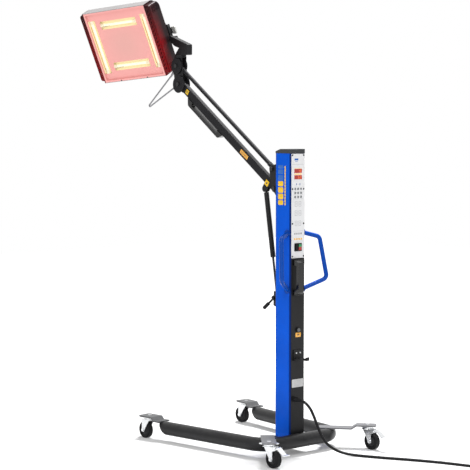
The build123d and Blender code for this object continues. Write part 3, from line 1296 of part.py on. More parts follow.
def end_cap(side):
    """Black end cap: a flange and a dome with slots in its front and side walls."""
    flange = Pos(HALF_FACE, 0, 0) * extrude(head_profile(0, HEAD_DEPTH), CAP_FLANGE, dir=(1, 0, 0))
    hollow = cap_dome(CAP_WALL)
    body = flange + cap_dome(0) - hollow - Pos(-TRIM, 0, 0) * hollow
    pitch = FACE * SLOT_SPAN_SHARE / (CAP_SLOTS - 1)
    middle_x = HALF_FACE + CAP_WIDTH / 2
    for index in range(CAP_SLOTS):
        y = (index - (CAP_SLOTS - 1) / 2) * pitch
        body = body - Pos(middle_x, y, 0) * Rot(0, 0, SLOT_TURN) * Box(CAP_SLOT_LENGTH, CAP_SLOT_WIDTH,
                                                                       4 * CAP_WALL)
    for end in (1, -1):
        for index in range(SIDE_SLOTS):
            z = -HEAD_DEPTH / 2 + (index - (SIDE_SLOTS - 1) / 2) * SIDE_SLOT_PITCH
            y = end * (HALF_FACE - SIDE_SLOT_LENGTH)
            body = body - Pos(HEAD_END, y, z) * Box(4 * CAP_WALL, SIDE_SLOT_LENGTH, CAP_SLOT_WIDTH)
    if side < 0:
        body = mirror(body, about=Plane.YZ)
    return HEAD * body


def lamp_places():
    """Middle, direction and length of each infrared lamp in the head's frame."""
    return [((SIDE_LAMP_X, 0), (0, 1, 0), SIDE_LAMP), ((-SIDE_LAMP_X, 0), (0, 1, 0), SIDE_LAMP),
            ((0, CROSS_LAMP_Y), (1, 0, 0), CROSS_LAMP), ((0, -CROSS_LAMP_Y), (1, 0, 0), CROSS_LAMP)]


def lamp_span(place, way, start, end):
    """Two points of a lamp's axis, at signed distances from its middle."""
    z = -TRAY_SET - LAMP_SET
    (x, y), (wx, wy, _) = place, way
    return ((x + wx * start, y + wy * start, z), (x + wx * end, y + wy * end, z))


def reflector_tray():
    """Reflector with a flat middle and four round troughs."""
    top = -TRAY_SET
    half = HALF_FACE - SHEET - GAP
    tray = block((-half, -half, top - TRAY_THICK), (half, half, top))
    for place, way, length in lamp_places():
        a, b = lamp_span(place, way, -length / 2, length / 2)
        lift = (0, 0, LAMP_SET)
        a = tuple(p + q for p, q in zip(a, lift))
        b = tuple(p + q for p, q in zip(b, lift))
        tray = tray + bar(a, b, TROUGH_RADIUS + TRAY_THICK)
    for place, way, length in lamp_places():
        a, b = lamp_span(place, way, -length / 2 + TRAY_THICK, length / 2 - TRAY_THICK)
        lift = (0, 0, LAMP_SET)
        a = tuple(p + q for p, q in zip(a, lift))
        b = tuple(p + q for p, q in zip(b, lift))
        tray = tray - bar(a, b, TROUGH_RADIUS)
    tray = tray - block((-FACE, -FACE, top), (FACE, FACE, OVERRUN * 2))
    wall = block((-half, half - TRAY_THICK, top - TRAY_THICK), (half, half, 0))
    frame = wall + block((-half, half - FACE_LIP, -TRAY_THICK), (half, half, 0))
    for quarter in range(4):
        tray = tray + Rot(0, 0, QUARTER_TURN * quarter) * frame
    return HEAD * tray


def infrared_lamps():
    """Quartz tubes of the four lamps."""
    tubes = []
    for place, way, length in lamp_places():
        reach = length / 2 - TRAY_THICK - LAMP_END
        a, b = lamp_span(place, way, -reach, reach)
        tubes.append(HEAD * bar(a, b, LAMP_RADIUS))
    return tubes


def lamp_holders():
    """Ceramic ends of the lamps, seated in the troughs."""
    ends = []
    for place, way, length in lamp_places():
        for side in (1, -1):
            outer = length / 2 - TRAY_THICK - GAP
            inner = outer - LAMP_END + GAP
            a, b = lamp_span(place, way, side * inner, side * outer)
            end = bar(a, b, LAMP_END_RADIUS)
            foot_low = -TRAY_SET - TROUGH_RADIUS
            low = [min(p, q) for p, q in zip(a, b)]
            high = [max(p, q) for p, q in zip(a, b)]
            half = HOLDER_WIDTH / 2
            wide = [0 if abs(q - p) > GAP else half for p, q in zip(a, b)]
            foot = block((low[0] - wide[0], low[1] - wide[1], foot_low), (high[0] + wide[0],
                                                                          high[1] + wide[1], low[2]))
            trough = bar((a[0], a[1], -TRAY_SET), (b[0], b[1], -TRAY_SET), TROUGH_RADIUS - GAP)
            ends.append(HEAD * (end + (foot & trough)))
    return ends


def head_hinge():
    """Plate on the head's back and the ear that holds the tilt pin."""
    back = -HEAD_DEPTH
    plate = Pos(0, 0, back - HINGE_PLATE) * extrude(make_face(Polyline(*HINGE_OUTLINE, close=True)),
                                                    HINGE_PLATE)
    ear = block((EAR_START, EAR_LOW, -EAR_DEEP), (EAR_END, EAR_HIGH, back))
    ear = fillet(ear.edges().filter_by(Axis.X), EAR_CORNER)
    tab = block((EAR_START, -TAB_HALF, -CLAMP_FAR), (EAR_END, TAB_HALF, -TILT_SET))
    hole = bar((EAR_START - TRIM, TILT_RISE, -TILT_SET), (EAR_END + TRIM, TILT_RISE, -TILT_SET),
               TILT_PIN_RADIUS)
    return HEAD * (plate + ear + tab - hole)


def tilt_clamp():
    """Bright clamp block beside the ear, and the tilt pin with its nut."""
    clamp = block((EAR_END, -CLAMP_HALF, -CLAMP_FAR), (CLAMP_END, CLAMP_HALF, -CLAMP_NEAR))
    clamp = chamfer(clamp.edges(), TRIM)
    pin = bar((TILT_PIN_START, TILT_RISE, -TILT_SET), (TILT_PIN_END, TILT_RISE, -TILT_SET), TILT_PIN_RADIUS)
    nut = extrude(RegularPolygon(TILT_NUT_RADIUS, 6), TILT_NUT)
    nut = Plane(origin=(EAR_START - TILT_NUT, TILT_RISE, -TILT_SET), z_dir=(1, 0, 0)) * nut
    return [HEAD * clamp, HEAD * (pin + nut)]


# Cord

def corner_radii(points):
    """Arc radius at each inner point of the cord's route."""
    radii = []
    for before, here, after in zip(points, points[1:], points[2:]):
        first = Vector(*here) - Vector(*before)
        second = Vector(*after) - Vector(*here)
        half = math.radians(first.get_angle(second)) / 2
        radii.append(BEND_SHARE * min(first.length, second.length) / math.tan(half))
    return radii


def cord_lead():
    """Cord from the gland to the coil."""
    radii = corner_radii(CORD_POINTS)
    path = FilletPolyline(*CORD_POINTS, radius=radii)
    tube = sweep(Plane(origin=path @ 0, z_dir=path % 0) * Circle(CORD_RADIUS), path)
    expected = math.pi * CORD_RADIUS ** 2 * path.length
    print("cord radii", [round(radius) for radius in radii])
    print("cord stretch", round(path.length), "mm, volume ratio", round(tube.volume / expected, 4))
    return tube


def coil_direction():
    """Unit direction in which the cord reaches the coil."""
    return (Vector(*CORD_POINTS[-1]) - Vector(*CORD_POINTS[-2])).normalized()


def coil_edges():
    """Edges of the coil: a straight lead, loops inwards, a climb, loops outwards, a straight end."""
    way = coil_direction()
    side = Vector(0, 0, 1).cross(way)
    start = Vector(*CORD_POINTS[-1])
    entry = start + way * (2 * CORD_RADIUS)
    edges = [Line(start, entry)]
    here, heading, radius = entry, way, COIL_OUTER
    step = COIL_PITCH / 2
    half_turns = 2 * COIL_LOOPS

    def half_turn(origin, direction, bend):
        left = Vector(0, 0, 1).cross(direction)
        middle = origin + left * bend + direction * bend
        end = origin + left * (2 * bend)
        return ThreePointArc(origin, middle, end), end

    for _ in range(half_turns):
        arc, here = half_turn(here, heading, radius)
        edges.append(arc)
        heading = heading * -1
        radius -= step
    left = Vector(0, 0, 1).cross(heading)
    rise = Vector(0, 0, COIL_LIFT)
    forward = math.sqrt(radius ** 2 + (COIL_LIFT / 2) ** 2)
    middle = here + left * radius + heading * forward + rise / 2
    end = here + left * (2 * radius) + rise
    edges.append(TangentArc(here, middle, tangent=heading))
    edges.append(TangentArc(end, middle, tangent=heading))
    here, heading = end, heading * -1
    for _ in range(half_turns):
        radius += step
        arc, here = half_turn(here, heading, radius)
        edges.append(arc)
        heading = heading * -1
    edges.append(Line(here, here + heading * (2 * CORD_RADIUS)))
    return edges, side, here + heading * (2 * CORD_RADIUS), heading


def coil_gap(edges):
    """Least gap between turns that pass each other, measured on points."""
    points = []
    walked = 0.0
    for edge in edges:
        count = max(2, int(edge.length / CORD_RADIUS))
        for index in range(count):
            points.append((walked + edge.length * index / count, edge @ (index / count)))
        walked += edge.length
    least = COIL_OUTER
    for index, (run, point) in enumerate(points):
        for other_run, other in points[index + 1:]:
            if other_run - run > COIL_OUTER:
                least = min(least, (other - point).length - 2 * CORD_RADIUS)
    return least


def cord_coil():
    """Loops of the cord's unseen length, lying on the floor."""
    edges, _, _, _ = coil_edges()
    path = Wire(Wire(edges=[edge.edge() for edge in edges]).edges())
    length = sum(edge.length for edge in edges)
    start = Vector(*CORD_POINTS[-1])
    tube = sweep(Plane(origin=start, z_dir=coil_direction()) * Circle(CORD_RADIUS), path)
    expected = math.pi * CORD_RADIUS ** 2 * length
    print("coil length", round(length), "mm, volume ratio", round(tube.volume / expected, 4))
    print("coil least gap", round(coil_gap(edges), 2), "mm")
    return tube


def cord_tail():
    """Straight end of the cord between the coil and the plug."""
    _, _, end, heading = coil_edges()
    return bar(end, end + heading * TAIL, CORD_RADIUS)


def plug():
    """Two-pin plug at the cord's end, lying on the floor."""
    _, _, end, heading = coil_edges()
    radius = end.Z
    place = Plane(origin=end + heading * TAIL, z_dir=heading)
    neck = Cylinder(PLUG_NECK_RADIUS, PLUG_NECK, align=LONG)
    body = fillet(Cylinder(radius, PLUG_LENGTH, align=LONG).edges().sort_by(Axis.Z)[0], radius / 2)
    front = PLUG_NECK - PLUG_NECK_RADIUS
    whole = neck + Pos(0, 0, front) * body
    for sign in (1, -1):
        pin = Cylinder(PIN_RADIUS, PIN_LENGTH, align=LONG)
        whole = whole + Pos(0, sign * PIN_HALF, front + PLUG_LENGTH) * pin
    return place * whole


def joined(pieces):
    """One compound of separate solids."""
    solids = [solid for piece in (pieces if isinstance(pieces, list) else [pieces])
              for solid in piece.solids()]
    return Compound(solids) if len(solids) > 1 else solids[0]


def caster_nodes():
    """Moving pieces of the four casters, by node name."""
    nodes = {}
    places = {"front_near": (FRONT_KING_X, FRONT_KING_Y, TRAIL), "front_far": (FRONT_KING_X,
                                                                               -FRONT_KING_Y, TRAIL),
              "rear_near": (REAR_KING_X, REAR_KING_Y, -TRAIL), "rear_far": (REAR_KING_X, -REAR_KING_Y,
                                                                            -TRAIL)}
    for name, (x, y, trail) in places.items():
        rear = trail < 0
        nodes[name + "_fork"] = Pos(x, y, 0) * fork(trail, rear)
        nodes[name + "_wheel"] = Pos(x, y, 0) * wheel(trail)
        if rear:
            nodes[name + "_pedal"] = Pos(x, y, 0) * pedal(trail)
    return nodes


def all_nodes():
    """Every node of the lamp, by name, in the working frame."""
    nodes = {
        "base_tube": base_tube() + end_plates(),
        "front_caster_plates": [front_plate(1), front_plate(-1)],
        "rear_caster_bars": [rear_bar(1), rear_bar(-1)],
        "swivel_plates": [swivel_plate(x, y) for x, y in (
            (FRONT_KING_X, FRONT_KING_Y), (FRONT_KING_X, -FRONT_KING_Y),
            (REAR_KING_X, REAR_KING_Y), (REAR_KING_X, -REAR_KING_Y))],
        "column_foot": column_foot(),
        "column_shell": column_shell(),
        "column_cap": column_cap(),
        "control_panel": control_panel(),
        "number_windows": number_windows(),
        "pilot_lamps": pilot_lamps(),
        "key_pad": key_pads(),
        "switch_housing": switch_housing(),
        "start_button": push_button(-1),
        "stop_button": push_button(1),
        "lower_panel": lower_panel(),
        "pull_grip": pull_grip(),
        "reset_collar": reset_collar(),
        "reset_button": reset_button(),
        "column_screws": column_screws(),
        "cable_hook": cable_hook(),
        "cable_gland": cable_gland(),
        "side_handles": [side_handle(1), side_handle(-1)],
        "control_board": control_board(),
        "power_unit": [power_module(), terminal_block()],
        "arm_bracket": arm_bracket(),
        "bracket_bolts": bracket_bolts(),
        "spring_foot": spring_foot(),
        "lock_lever": lock_lever(),
        "arm_tube": arm_tube(),
        "arm_grip": arm_grip(),
        "parallel_rod": parallel_rod(),
        "gas_cylinder": gas_cylinder(),
        "gas_rod": gas_rod(),
        "link_cheeks": link_cheeks(),
        "link_discs": link_discs(),
        "link_bolts": link_bolts(),
        "wire_handle": wire_handle(),
        "swivel_bracket": swivel_bracket(),
        "back_shell": back_shell(),
        "head_end_caps": [end_cap(1), end_cap(-1)],
        "reflector_tray": reflector_tray(),
        "infrared_lamps": infrared_lamps(),
        "lamp_holders": lamp_holders(),
        "head_hinge": head_hinge(),
        "tilt_clamp": tilt_clamp(),
        "cord_lead": cord_lead(),
        "cord_coil": cord_coil(),
        "cord_tail": cord_tail(),
        "cord_plug": plug(),
    }
    nodes.update(caster_nodes())
    return {name: joined(shape) for name, shape in nodes.items()}


CORD_NODES = ("cord_lead", "cord_coil", "cord_tail", "cord_plug")


def lamp_shift(nodes):
    """Shift from the column axis to the middle of the lamp's footprint."""
    box = Compound([shape for name, shape in nodes.items() if name not in CORD_NODES]).bounding_box()
    return Vector(-(box.min.X + box.max.X) / 2, -(box.min.Y + box.max.Y) / 2, 0)


def main():
    """Build every node and write one STEP file for each."""
    os.makedirs("parts", exist_ok=True)
    nodes = all_nodes()
    shift = lamp_shift(nodes)
    print("shift", round(shift.X, 3), round(shift.Y, 3), "nodes", len(nodes))
    here = tilt_point(TILT_LUG_START)
    print("tilt axis through", [round(value, 3) for value in (here.X, here.Y, here.Z)])
    for name, shape in nodes.items():
        export_step(Pos(shift.X, shift.Y, shift.Z) * shape, "parts/" + name + ".step")


main()
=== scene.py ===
"""Looks of an infrared paint curing lamp on a wheeled stand.

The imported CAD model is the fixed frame. Its nodes get procedural finishes, and each sub-assembly
below is a class that adds its small pieces: the control panel's print and lit numbers, the labels,
the lamps' glowing wires, the rim's screws, the gland's boot and the mains cord as one smooth line.

Sizes are in millimetres from the column's axis and turned into the frame's metres by `at`.
"""
import json
import logging
import math
from dataclasses import dataclass
from enum import Enum
from typing import Callable, Dict, List, Optional, Sequence, Tuple

import bpy
from mathutils import Matrix, Vector


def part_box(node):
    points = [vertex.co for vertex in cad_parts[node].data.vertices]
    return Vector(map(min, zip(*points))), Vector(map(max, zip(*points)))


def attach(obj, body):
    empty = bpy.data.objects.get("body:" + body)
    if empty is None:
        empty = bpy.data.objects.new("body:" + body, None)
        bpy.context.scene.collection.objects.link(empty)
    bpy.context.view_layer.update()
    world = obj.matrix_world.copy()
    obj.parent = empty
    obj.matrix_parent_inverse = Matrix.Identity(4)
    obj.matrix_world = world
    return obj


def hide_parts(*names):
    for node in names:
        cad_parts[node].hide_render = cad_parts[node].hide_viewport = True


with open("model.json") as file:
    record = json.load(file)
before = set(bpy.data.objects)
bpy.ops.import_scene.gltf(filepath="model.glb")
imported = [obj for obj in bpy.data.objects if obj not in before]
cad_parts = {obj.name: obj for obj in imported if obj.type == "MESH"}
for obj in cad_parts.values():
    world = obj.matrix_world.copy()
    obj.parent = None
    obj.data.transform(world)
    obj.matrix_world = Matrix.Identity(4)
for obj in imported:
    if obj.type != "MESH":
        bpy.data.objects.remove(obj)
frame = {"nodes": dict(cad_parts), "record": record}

Colour = Place = Tuple[float, float, float]
Pair = Tuple[float, float]
Plate = Tuple[float, float, float, float]
Plates = Sequence[Plate]
Source = Tuple[object, object]
Socket = bpy.types.NodeSocket
Nodes = bpy.types.NodeTree
Piece = bpy.types.Object

log = logging.getLogger("curing_lamp")

MM = 0.001
COLUMN_FRONT = 50.0
AXIS_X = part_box("column_shell")[1].x - COLUMN_FRONT * MM
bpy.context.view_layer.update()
WHITE, BLACK = (1.0, 1.0, 1.0), (0.0, 0.0, 0.0)
BACKWARD, NEARWARD, FARWARD = (-1.0, 0.0, 0.0), (0.0, 1.0, 0.0), (0.0, -1.0, 0.0)
UP, OUT = 1, 2
NOISE_LOW, NOISE_HIGH = 0.3, 0.7
SHADER = "Principled BSDF"


def at(x: float, y: float, z: float) -> Vector:
    """Turn a place in millimetres from the column's axis into the frame's metres."""
    return Vector((AXIS_X + x * MM, y * MM, z * MM))


@dataclass(frozen=True)
class Face:
    """A flat side of the lamp, with its own directions across, up and out of it."""

    origin: Place
    across: Place
    out: Place

    @property
    def axes(self) -> Matrix:
        """Return the side's three directions as the columns of a matrix."""
        across, out = Vector(self.across).normalized(), Vector(self.out).normalized()
        return Matrix((across, out.cross(across), out)).transposed()

    def place(self, across: float, up: float, out: float = 0.0) -> Vector:
        """Turn a place on the side, in millimetres, into the frame's metres."""
        return at(*self.origin) + self.axes @ (Vector((across, up, out)) * MM)


HEAD_FACE = Face((976.6, 148.0, 1779.3), (-0.954, -0.288, 0.089), (-0.299, 0.865, -0.404))


def back_face(node: str) -> Face:
    """Return the side of a CAD node that looks away from the lamp head."""
    return Face(((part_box(node)[0].x - AXIS_X) / MM, 0.0, 0.0), FARWARD, BACKWARD)


def near_face(node: str) -> Face:
    """Return the side of a CAD node that the lamp head also looks to."""
    return Face((0.0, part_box(node)[1].y / MM, 0.0), BACKWARD, NEARWARD)


# Shader building


class Effect(Enum):
    """Shared effects, each a node group built once."""

    GRAIN = "fine_grain"
    MOTTLE = "slow_mottle"
    EDGE_WEAR = "edge_wear"
    BRUSH = "brushed_lines"
    DUST = "settled_dust"


class Tree:
    """Short calls for one node tree, so that a finish reads as a list of steps."""

    def __init__(self, tree: Nodes, point: Optional[Socket] = None) -> None:
        """Keep the tree that the steps are added to and the point that they look at."""
        self.tree, self.point = tree, point

    def feed(self, node: bpy.types.Node, key: object, value: object) -> None:
        """Link an output to one of a node's inputs, or set the input itself.

        Args:
            node: The node.
            key: The input's name or number.
            value: The output or the value. A colour comes without its alpha.
        """
        socket = node.inputs[key]
        if isinstance(value, Socket):
            self.tree.links.new(value, socket)
        else:
            socket.default_value = (*value, 1.0) if socket.type == "RGBA" else value

    def add(self, kind: str, *sources: Source, **settings: object) -> bpy.types.Node:
        """Add a node.

        Args:
            kind: Blender's class name of the node.
            sources: Pairs of an input's name or number and what is fed to it.
            settings: Attributes of the node itself.

        Returns:
            The new node.
        """
        node = self.tree.nodes.new(kind)
        for name, value in settings.items():
            setattr(node, name, value)
        for key, value in sources:
            self.feed(node, key, value)
        return node

    def effect(self, effect: Effect, **inputs: object) -> Sequence[Socket]:
        """Return the outputs of a shared effect, building its group the first time."""
        group = bpy.data.node_groups.get(effect.value) or BUILDERS[effect]()
        return self.add("ShaderNodeGroup", ("Vector", self.point), *inputs.items(),
                        node_tree=group).outputs

    def math(self, operation: str, first: object, second: object = 0.0) -> Socket:
        """Join two values by one arithmetic operation and return its result."""
        return self.add("ShaderNodeMath", (0, first), (1, second), operation=operation).outputs[0]

    def join(self, operation: str, first: object, second: object = BLACK,
             output: str = "Value") -> Socket:
        """Join two vectors by one operation and return its value, or else its vector."""
        return self.add("ShaderNodeVectorMath", (0, first), (1, second),
                        operation=operation).outputs[output]

    def axis(self, vector: Socket, letter: str) -> Socket:
        """Return one part of a vector."""
        return self.add("ShaderNodeSeparateXYZ", (0, vector)).outputs[letter]

    def normal(self) -> Socket:
        """Return the direction that the surface faces."""
        return self.add("ShaderNodeNewGeometry").outputs["Normal"]

    def mix(self, share: object, first: object, second: object) -> Socket:
        """Blend two colours by a share and return the colour."""
        return self.add("ShaderNodeMix", (0, share), (6, first), (7, second),
                        data_type="RGBA").outputs[2]

    def noise(self, scale: object, detail: float = 3.0) -> Socket:
        """Return the value of a noise texture at the point."""
        return self.add("ShaderNodeTexNoise", ("Vector", self.point), ("Scale", scale),
                        ("Detail", detail)).outputs[0]

    def band(self, value: object, low: float, high: float, to_low: float = 0.0,
             to_high: float = 1.0) -> Socket:
        """Map a value's range onto another range, clamped at both ends."""
        ends = (value, low, high, to_low, to_high)
        return self.add("ShaderNodeMapRange", *enumerate(ends)).outputs[0]

    def zone(self, distance: Socket, low: float, high: float, to_low: float = 0.0) -> Socket:
        """Map a distance between two places in millimetres onto a share that ends at 1."""
        return self.band(distance, low * MM, high * MM, to_low)

    def swing(self, noise: Socket) -> Socket:
        """Spread a noise's usual range over -1 to 1."""
        return self.band(noise, NOISE_LOW, NOISE_HIGH, -1.0, 1.0)


SOCKET_KINDS = {"Vector": "NodeSocketVector", "Stretch": "NodeSocketVector",
                "Colour": "NodeSocketColor"}


def start_group(effect: Effect, inputs: Sequence[str],
                outputs: Sequence[str]) -> Tuple[Tree, Sequence[Socket], bpy.types.Node]:
    """Start the node group of a shared effect.

    Args:
        effect: The effect that the group is for.
        inputs: Name of each input beside the point.
        outputs: Name of each output.

    Returns:
        The group's short calls, what it is given and its output node.
    """
    group = bpy.data.node_groups.new(effect.value, "ShaderNodeTree")
    for way, names in (("INPUT", ("Vector", *inputs)), ("OUTPUT", outputs)):
        for name in names:
            kind = SOCKET_KINDS.get(name, "NodeSocketFloat")
            group.interface.new_socket(name, in_out=way, socket_type=kind)
    given = group.nodes.new("NodeGroupInput").outputs
    return Tree(group, given["Vector"]), given, group.nodes.new("NodeGroupOutput")


def build_grain() -> Nodes:
    """Build the fine grain of paint and moulded plastic: a height and a slight gloss change.

    Returns:
        The node group.
    """
    broad_scale, fine_share, detail = 0.23, 0.6, 2.0
    tree, given, sink = start_group(Effect.GRAIN, ("Scale",), ("Height", "Gloss"))
    fine = tree.noise(given["Scale"], detail)
    broad = tree.noise(tree.math("MULTIPLY", given["Scale"], broad_scale), detail)
    height = tree.math("ADD", tree.math("MULTIPLY", fine, fine_share),
                       tree.math("MULTIPLY", broad, 1.0 - fine_share))
    tree.feed(sink, "Height", height)
    tree.feed(sink, "Gloss", tree.swing(broad))
    return tree.tree


def build_mottle() -> Nodes:
    """Build a slow change of brightness over large surfaces.

    Returns:
        The node group.
    """
    scale, detail = 9.0, 4.0
    tree, given, sink = start_group(Effect.MOTTLE, ("Colour", "Amount"), ("Colour",))
    swing = tree.swing(tree.noise(scale, detail))
    factor = tree.math("ADD", 1.0, tree.math("MULTIPLY", swing, given["Amount"]))
    shade = tree.add("ShaderNodeHueSaturation", ("Value", factor), ("Color", given["Colour"]))
    tree.feed(sink, "Colour", shade.outputs[0])
    return tree.tree


def build_edge_wear() -> Nodes:
    """Build a mask of rubbed edges, from how far the rounded normal leaves the flat one.

    Returns:
        The node group.
    """
    width, flat_turn, edge_turn = 0.0012, 0.93, 0.78
    patch_scale, patch_detail, patch_low, patch_high = 70.0, 5.0, 0.42, 0.62
    tree, given, sink = start_group(Effect.EDGE_WEAR, ("Amount",), ("Mask",))
    rounded = tree.add("ShaderNodeBevel", ("Radius", width), samples=3)
    turn = tree.join("DOT_PRODUCT", rounded.outputs[0], tree.normal())
    edge = tree.band(turn, flat_turn, edge_turn)
    patch = tree.band(tree.noise(patch_scale, patch_detail), patch_low, patch_high)
    worn = tree.math("MULTIPLY", tree.math("MULTIPLY", edge, patch), given["Amount"])
    tree.feed(sink, "Mask", worn)
    return tree.tree


def build_brush() -> Nodes:
    """Build long fine lines of a drawn or brushed metal.

    Returns:
        The node group.
    """
    detail = 4.0
    tree, given, sink = start_group(Effect.BRUSH, ("Stretch", "Scale"), ("Height", "Gloss"))
    tree.point = tree.join("MULTIPLY", tree.point, given["Stretch"], "Vector")
    lines = tree.noise(given["Scale"], detail)
    tree.feed(sink, "Height", lines)
    tree.feed(sink, "Gloss", tree.swing(lines))
    return tree.tree


def build_dust() -> Nodes:
    """Build a thin mask of workshop dust on faces that look up.

    Returns:
        The node group.
    """
    cloud_scale, cloud_detail, cloud_low, cloud_high = 45.0, 6.0, 0.35, 0.75
    steep, level = 0.3, 0.95
    tree, given, sink = start_group(Effect.DUST, ("Amount",), ("Mask",))
    upward = tree.band(tree.axis(tree.normal(), "Z"), steep, level)
    cloud = tree.band(tree.noise(cloud_scale, cloud_detail), cloud_low, cloud_high)
    mask = tree.math("MULTIPLY", tree.math("MULTIPLY", upward, cloud), given["Amount"])
    tree.feed(sink, "Mask", mask)
    return tree.tree


BUILDERS: Dict[Effect, Callable[[], Nodes]] = dict(zip(
    Effect, (build_grain, build_mottle, build_edge_wear, build_brush, build_dust)))


# Finishes


@dataclass(frozen=True)
class Finish:
    """An opaque finish: colour, gloss, small relief, rubbed edges, dust and its own light."""

    name: str
    colour: Colour
    roughness: float = 0.5
    metallic: float = 0.0
    surface: Effect = Effect.GRAIN
    grain: float = 900.0
    relief: float = 0.05
    relief_depth: float = 0.0002
    mottle: float = 0.06
    gloss_swing: float = 0.05
    wear: float = 0.0
    wear_colour: Colour = (0.45, 0.45, 0.46)
    dust: float = 0.05
    dust_colour: Colour = (0.42, 0.40, 0.37)
    dust_dulling: float = 0.4
    coat: float = 0.0
    stretch: Place = (1.0, 1.0, 0.04)
    specular: float = 0.5
    strength: float = 0.0

    def base(self, tree: Tree) -> Socket:
        """Return the finish's colour at the tree's point, before wear and dust."""
        return tree.effect(Effect.MOTTLE, Colour=self.colour, Amount=self.mottle)[0]

    def shine(self, tree: Tree) -> Socket:
        """Return the colour of the finish's own light, where it has a strength."""
        return self.base(tree)

    def build(self) -> bpy.types.Material:
        """Build the material the first time and find it after that.

        Returns:
            The material.
        """
        if self.name in bpy.data.materials:
            return bpy.data.materials[self.name]
        material = bpy.data.materials.new(self.name)
        material.use_nodes = True
        tree = Tree(material.node_tree)
        tree.point = tree.add("ShaderNodeTexCoord").outputs["Object"]
        stretch = {"Stretch": self.stretch} if self.surface is Effect.BRUSH else {}
        relief = tree.effect(self.surface, Scale=self.grain, **stretch)
        dust = tree.effect(Effect.DUST, Amount=self.dust)[0]
        colour = self.base(tree)
        if self.wear > 0:
            worn = tree.effect(Effect.EDGE_WEAR, Amount=self.wear)[0]
            colour = tree.mix(worn, colour, self.wear_colour)
        gloss = tree.math("MULTIPLY", relief["Gloss"], self.gloss_swing)
        dulled = tree.math("MULTIPLY", dust, self.dust_dulling)
        bump = tree.add("ShaderNodeBump", ("Strength", self.relief),
                        ("Distance", self.relief_depth), ("Height", relief["Height"]))
        inputs = {"Base Color": tree.mix(dust, colour, self.dust_colour),
                  "Roughness": tree.math("ADD", tree.math("ADD", gloss, self.roughness), dulled),
                  "Normal": bump.outputs[0], "Metallic": self.metallic, "Coat Weight": self.coat,
                  "Specular IOR Level": self.specular, "Emission Strength": self.strength}
        if self.strength > 0:
            inputs["Emission Color"] = self.shine(tree)
        for key, value in inputs.items():
            tree.feed(material.node_tree.nodes[SHADER], key, value)
        return material


@dataclass(frozen=True)
class Glowing(Finish):
    """A finish that also gives off light, stronger where its noise is high."""

    glow: Colour = (1.0, 0.8, 0.4)
    dim: float = 0.8
    cloud_scale: float = 60.0

    def shine(self, tree: Tree) -> Socket:
        """Return the glow, which changes softly over the piece."""
        cloud = tree.band(tree.noise(self.cloud_scale), NOISE_LOW, NOISE_HIGH)
        return tree.mix(cloud, tuple(part * self.dim for part in self.glow), self.glow)


@dataclass(frozen=True)
class TwoTone(Finish):
    """A finish with a second colour, laid on by a share that each kind works out."""

    second: Colour = (0.1, 0.1, 0.1)

    def share(self, tree: Tree) -> Socket:
        """Return the second colour's share at a point, from 0 to 1."""
        raise NotImplementedError

    def base(self, tree: Tree) -> Socket:
        """Return the two colours, blended by the share."""
        return tree.mix(self.share(tree), super().base(tree), self.second)


@dataclass(frozen=True)
class SplitFinish(TwoTone):
    """A finish that has a second colour above one height."""

    split: float = 0.0

    def share(self, tree: Tree) -> Socket:
        """Return 0 below the height and 1 above it."""
        return tree.math("GREATER_THAN", tree.axis(tree.point, "Z"), self.split * MM)


@dataclass(frozen=True)
class WheelFinish(TwoTone):
    """A tyre with a paler hub, told apart by the distance from the wheel's own axle."""

    middle: Place = (0.0, 0.0, 0.0)
    second: Colour = (0.035, 0.035, 0.037)
    hub: Pair = (21.4, 20.6)

    def share(self, tree: Tree) -> Socket:
        """Return 1 near the axle and 0 out on the tyre."""
        arm = tree.join("SUBTRACT", tree.point, self.middle, "Vector")
        return tree.zone(tree.join("LENGTH", tree.join("MULTIPLY", arm, (1, 0, 1), "Vector")),
                         *self.hub)


@dataclass(frozen=True)
class ShadedColumnPaint(TwoTone):
    """The column's blue, with painted shade on its long corners where they turn away."""

    # dark blue of the painted shade on the corners
    second: Colour = (0.002, 0.018, 0.13)
    # where the painted shade starts and where it is full, in millimetres from the axis
    corner: Pair = (39.5, 44.5)

    def share(self, tree: Tree) -> Socket:
        """Return the share of painted shade: 1 at the front and rear corners and 0 between them."""
        along = tree.math("SUBTRACT", tree.axis(tree.point, "X"), AXIS_X)
        return tree.zone(tree.math("ABSOLUTE", along), *self.corner)


def from_head(tree: Tree) -> Socket:
    """Return the way from the middle of the head's lit side to the tree's point."""
    return tree.join("SUBTRACT", tree.point, HEAD_FACE.place(0.0, 0.0), "Vector")


def along_head(tree: Tree, column: int) -> Socket:
    """Return how far the point lies from that middle, along one of the lit side's directions."""
    return tree.join("DOT_PRODUCT", from_head(tree), HEAD_FACE.axes.col[column])


@dataclass(frozen=True)
class LitTray(Finish):
    """The reflector: pink in the lamps' light, and cream down in the troughs."""

    trough: Colour = (0.66, 0.58, 0.37)
    middle: Colour = (0.58, 0.29, 0.26)
    spread: Pair = (30.0, 160.0)
    depth: Pair = (-11.0, -12.5)
    facing: Pair = (0.02, 0.10)
    # strength of the painted glow of the lamps' light on the tray
    strength: float = 0.52

    def base(self, tree: Tree) -> Socket:
        """Work out the tray's colour.

        Args:
            tree: The tree that the steps are added to.

        Returns:
            Pink, greyer towards the middle, and cream below the flat.
        """
        outer = tree.zone(tree.join("LENGTH", from_head(tree)), *self.spread)
        flat = tree.mix(outer, self.middle, super().base(tree))
        return tree.mix(tree.zone(along_head(tree, OUT), *self.depth), flat, self.trough)

    def shine(self, tree: Tree) -> Socket:
        """Return the painted glow of the lamps' light: the tray's colour on what faces out of the
        head, and black on its back.
        """
        turn = tree.join("DOT_PRODUCT", tree.normal(), HEAD_FACE.axes.col[OUT])
        return tree.mix(tree.band(turn, *self.facing), BLACK, self.base(tree))


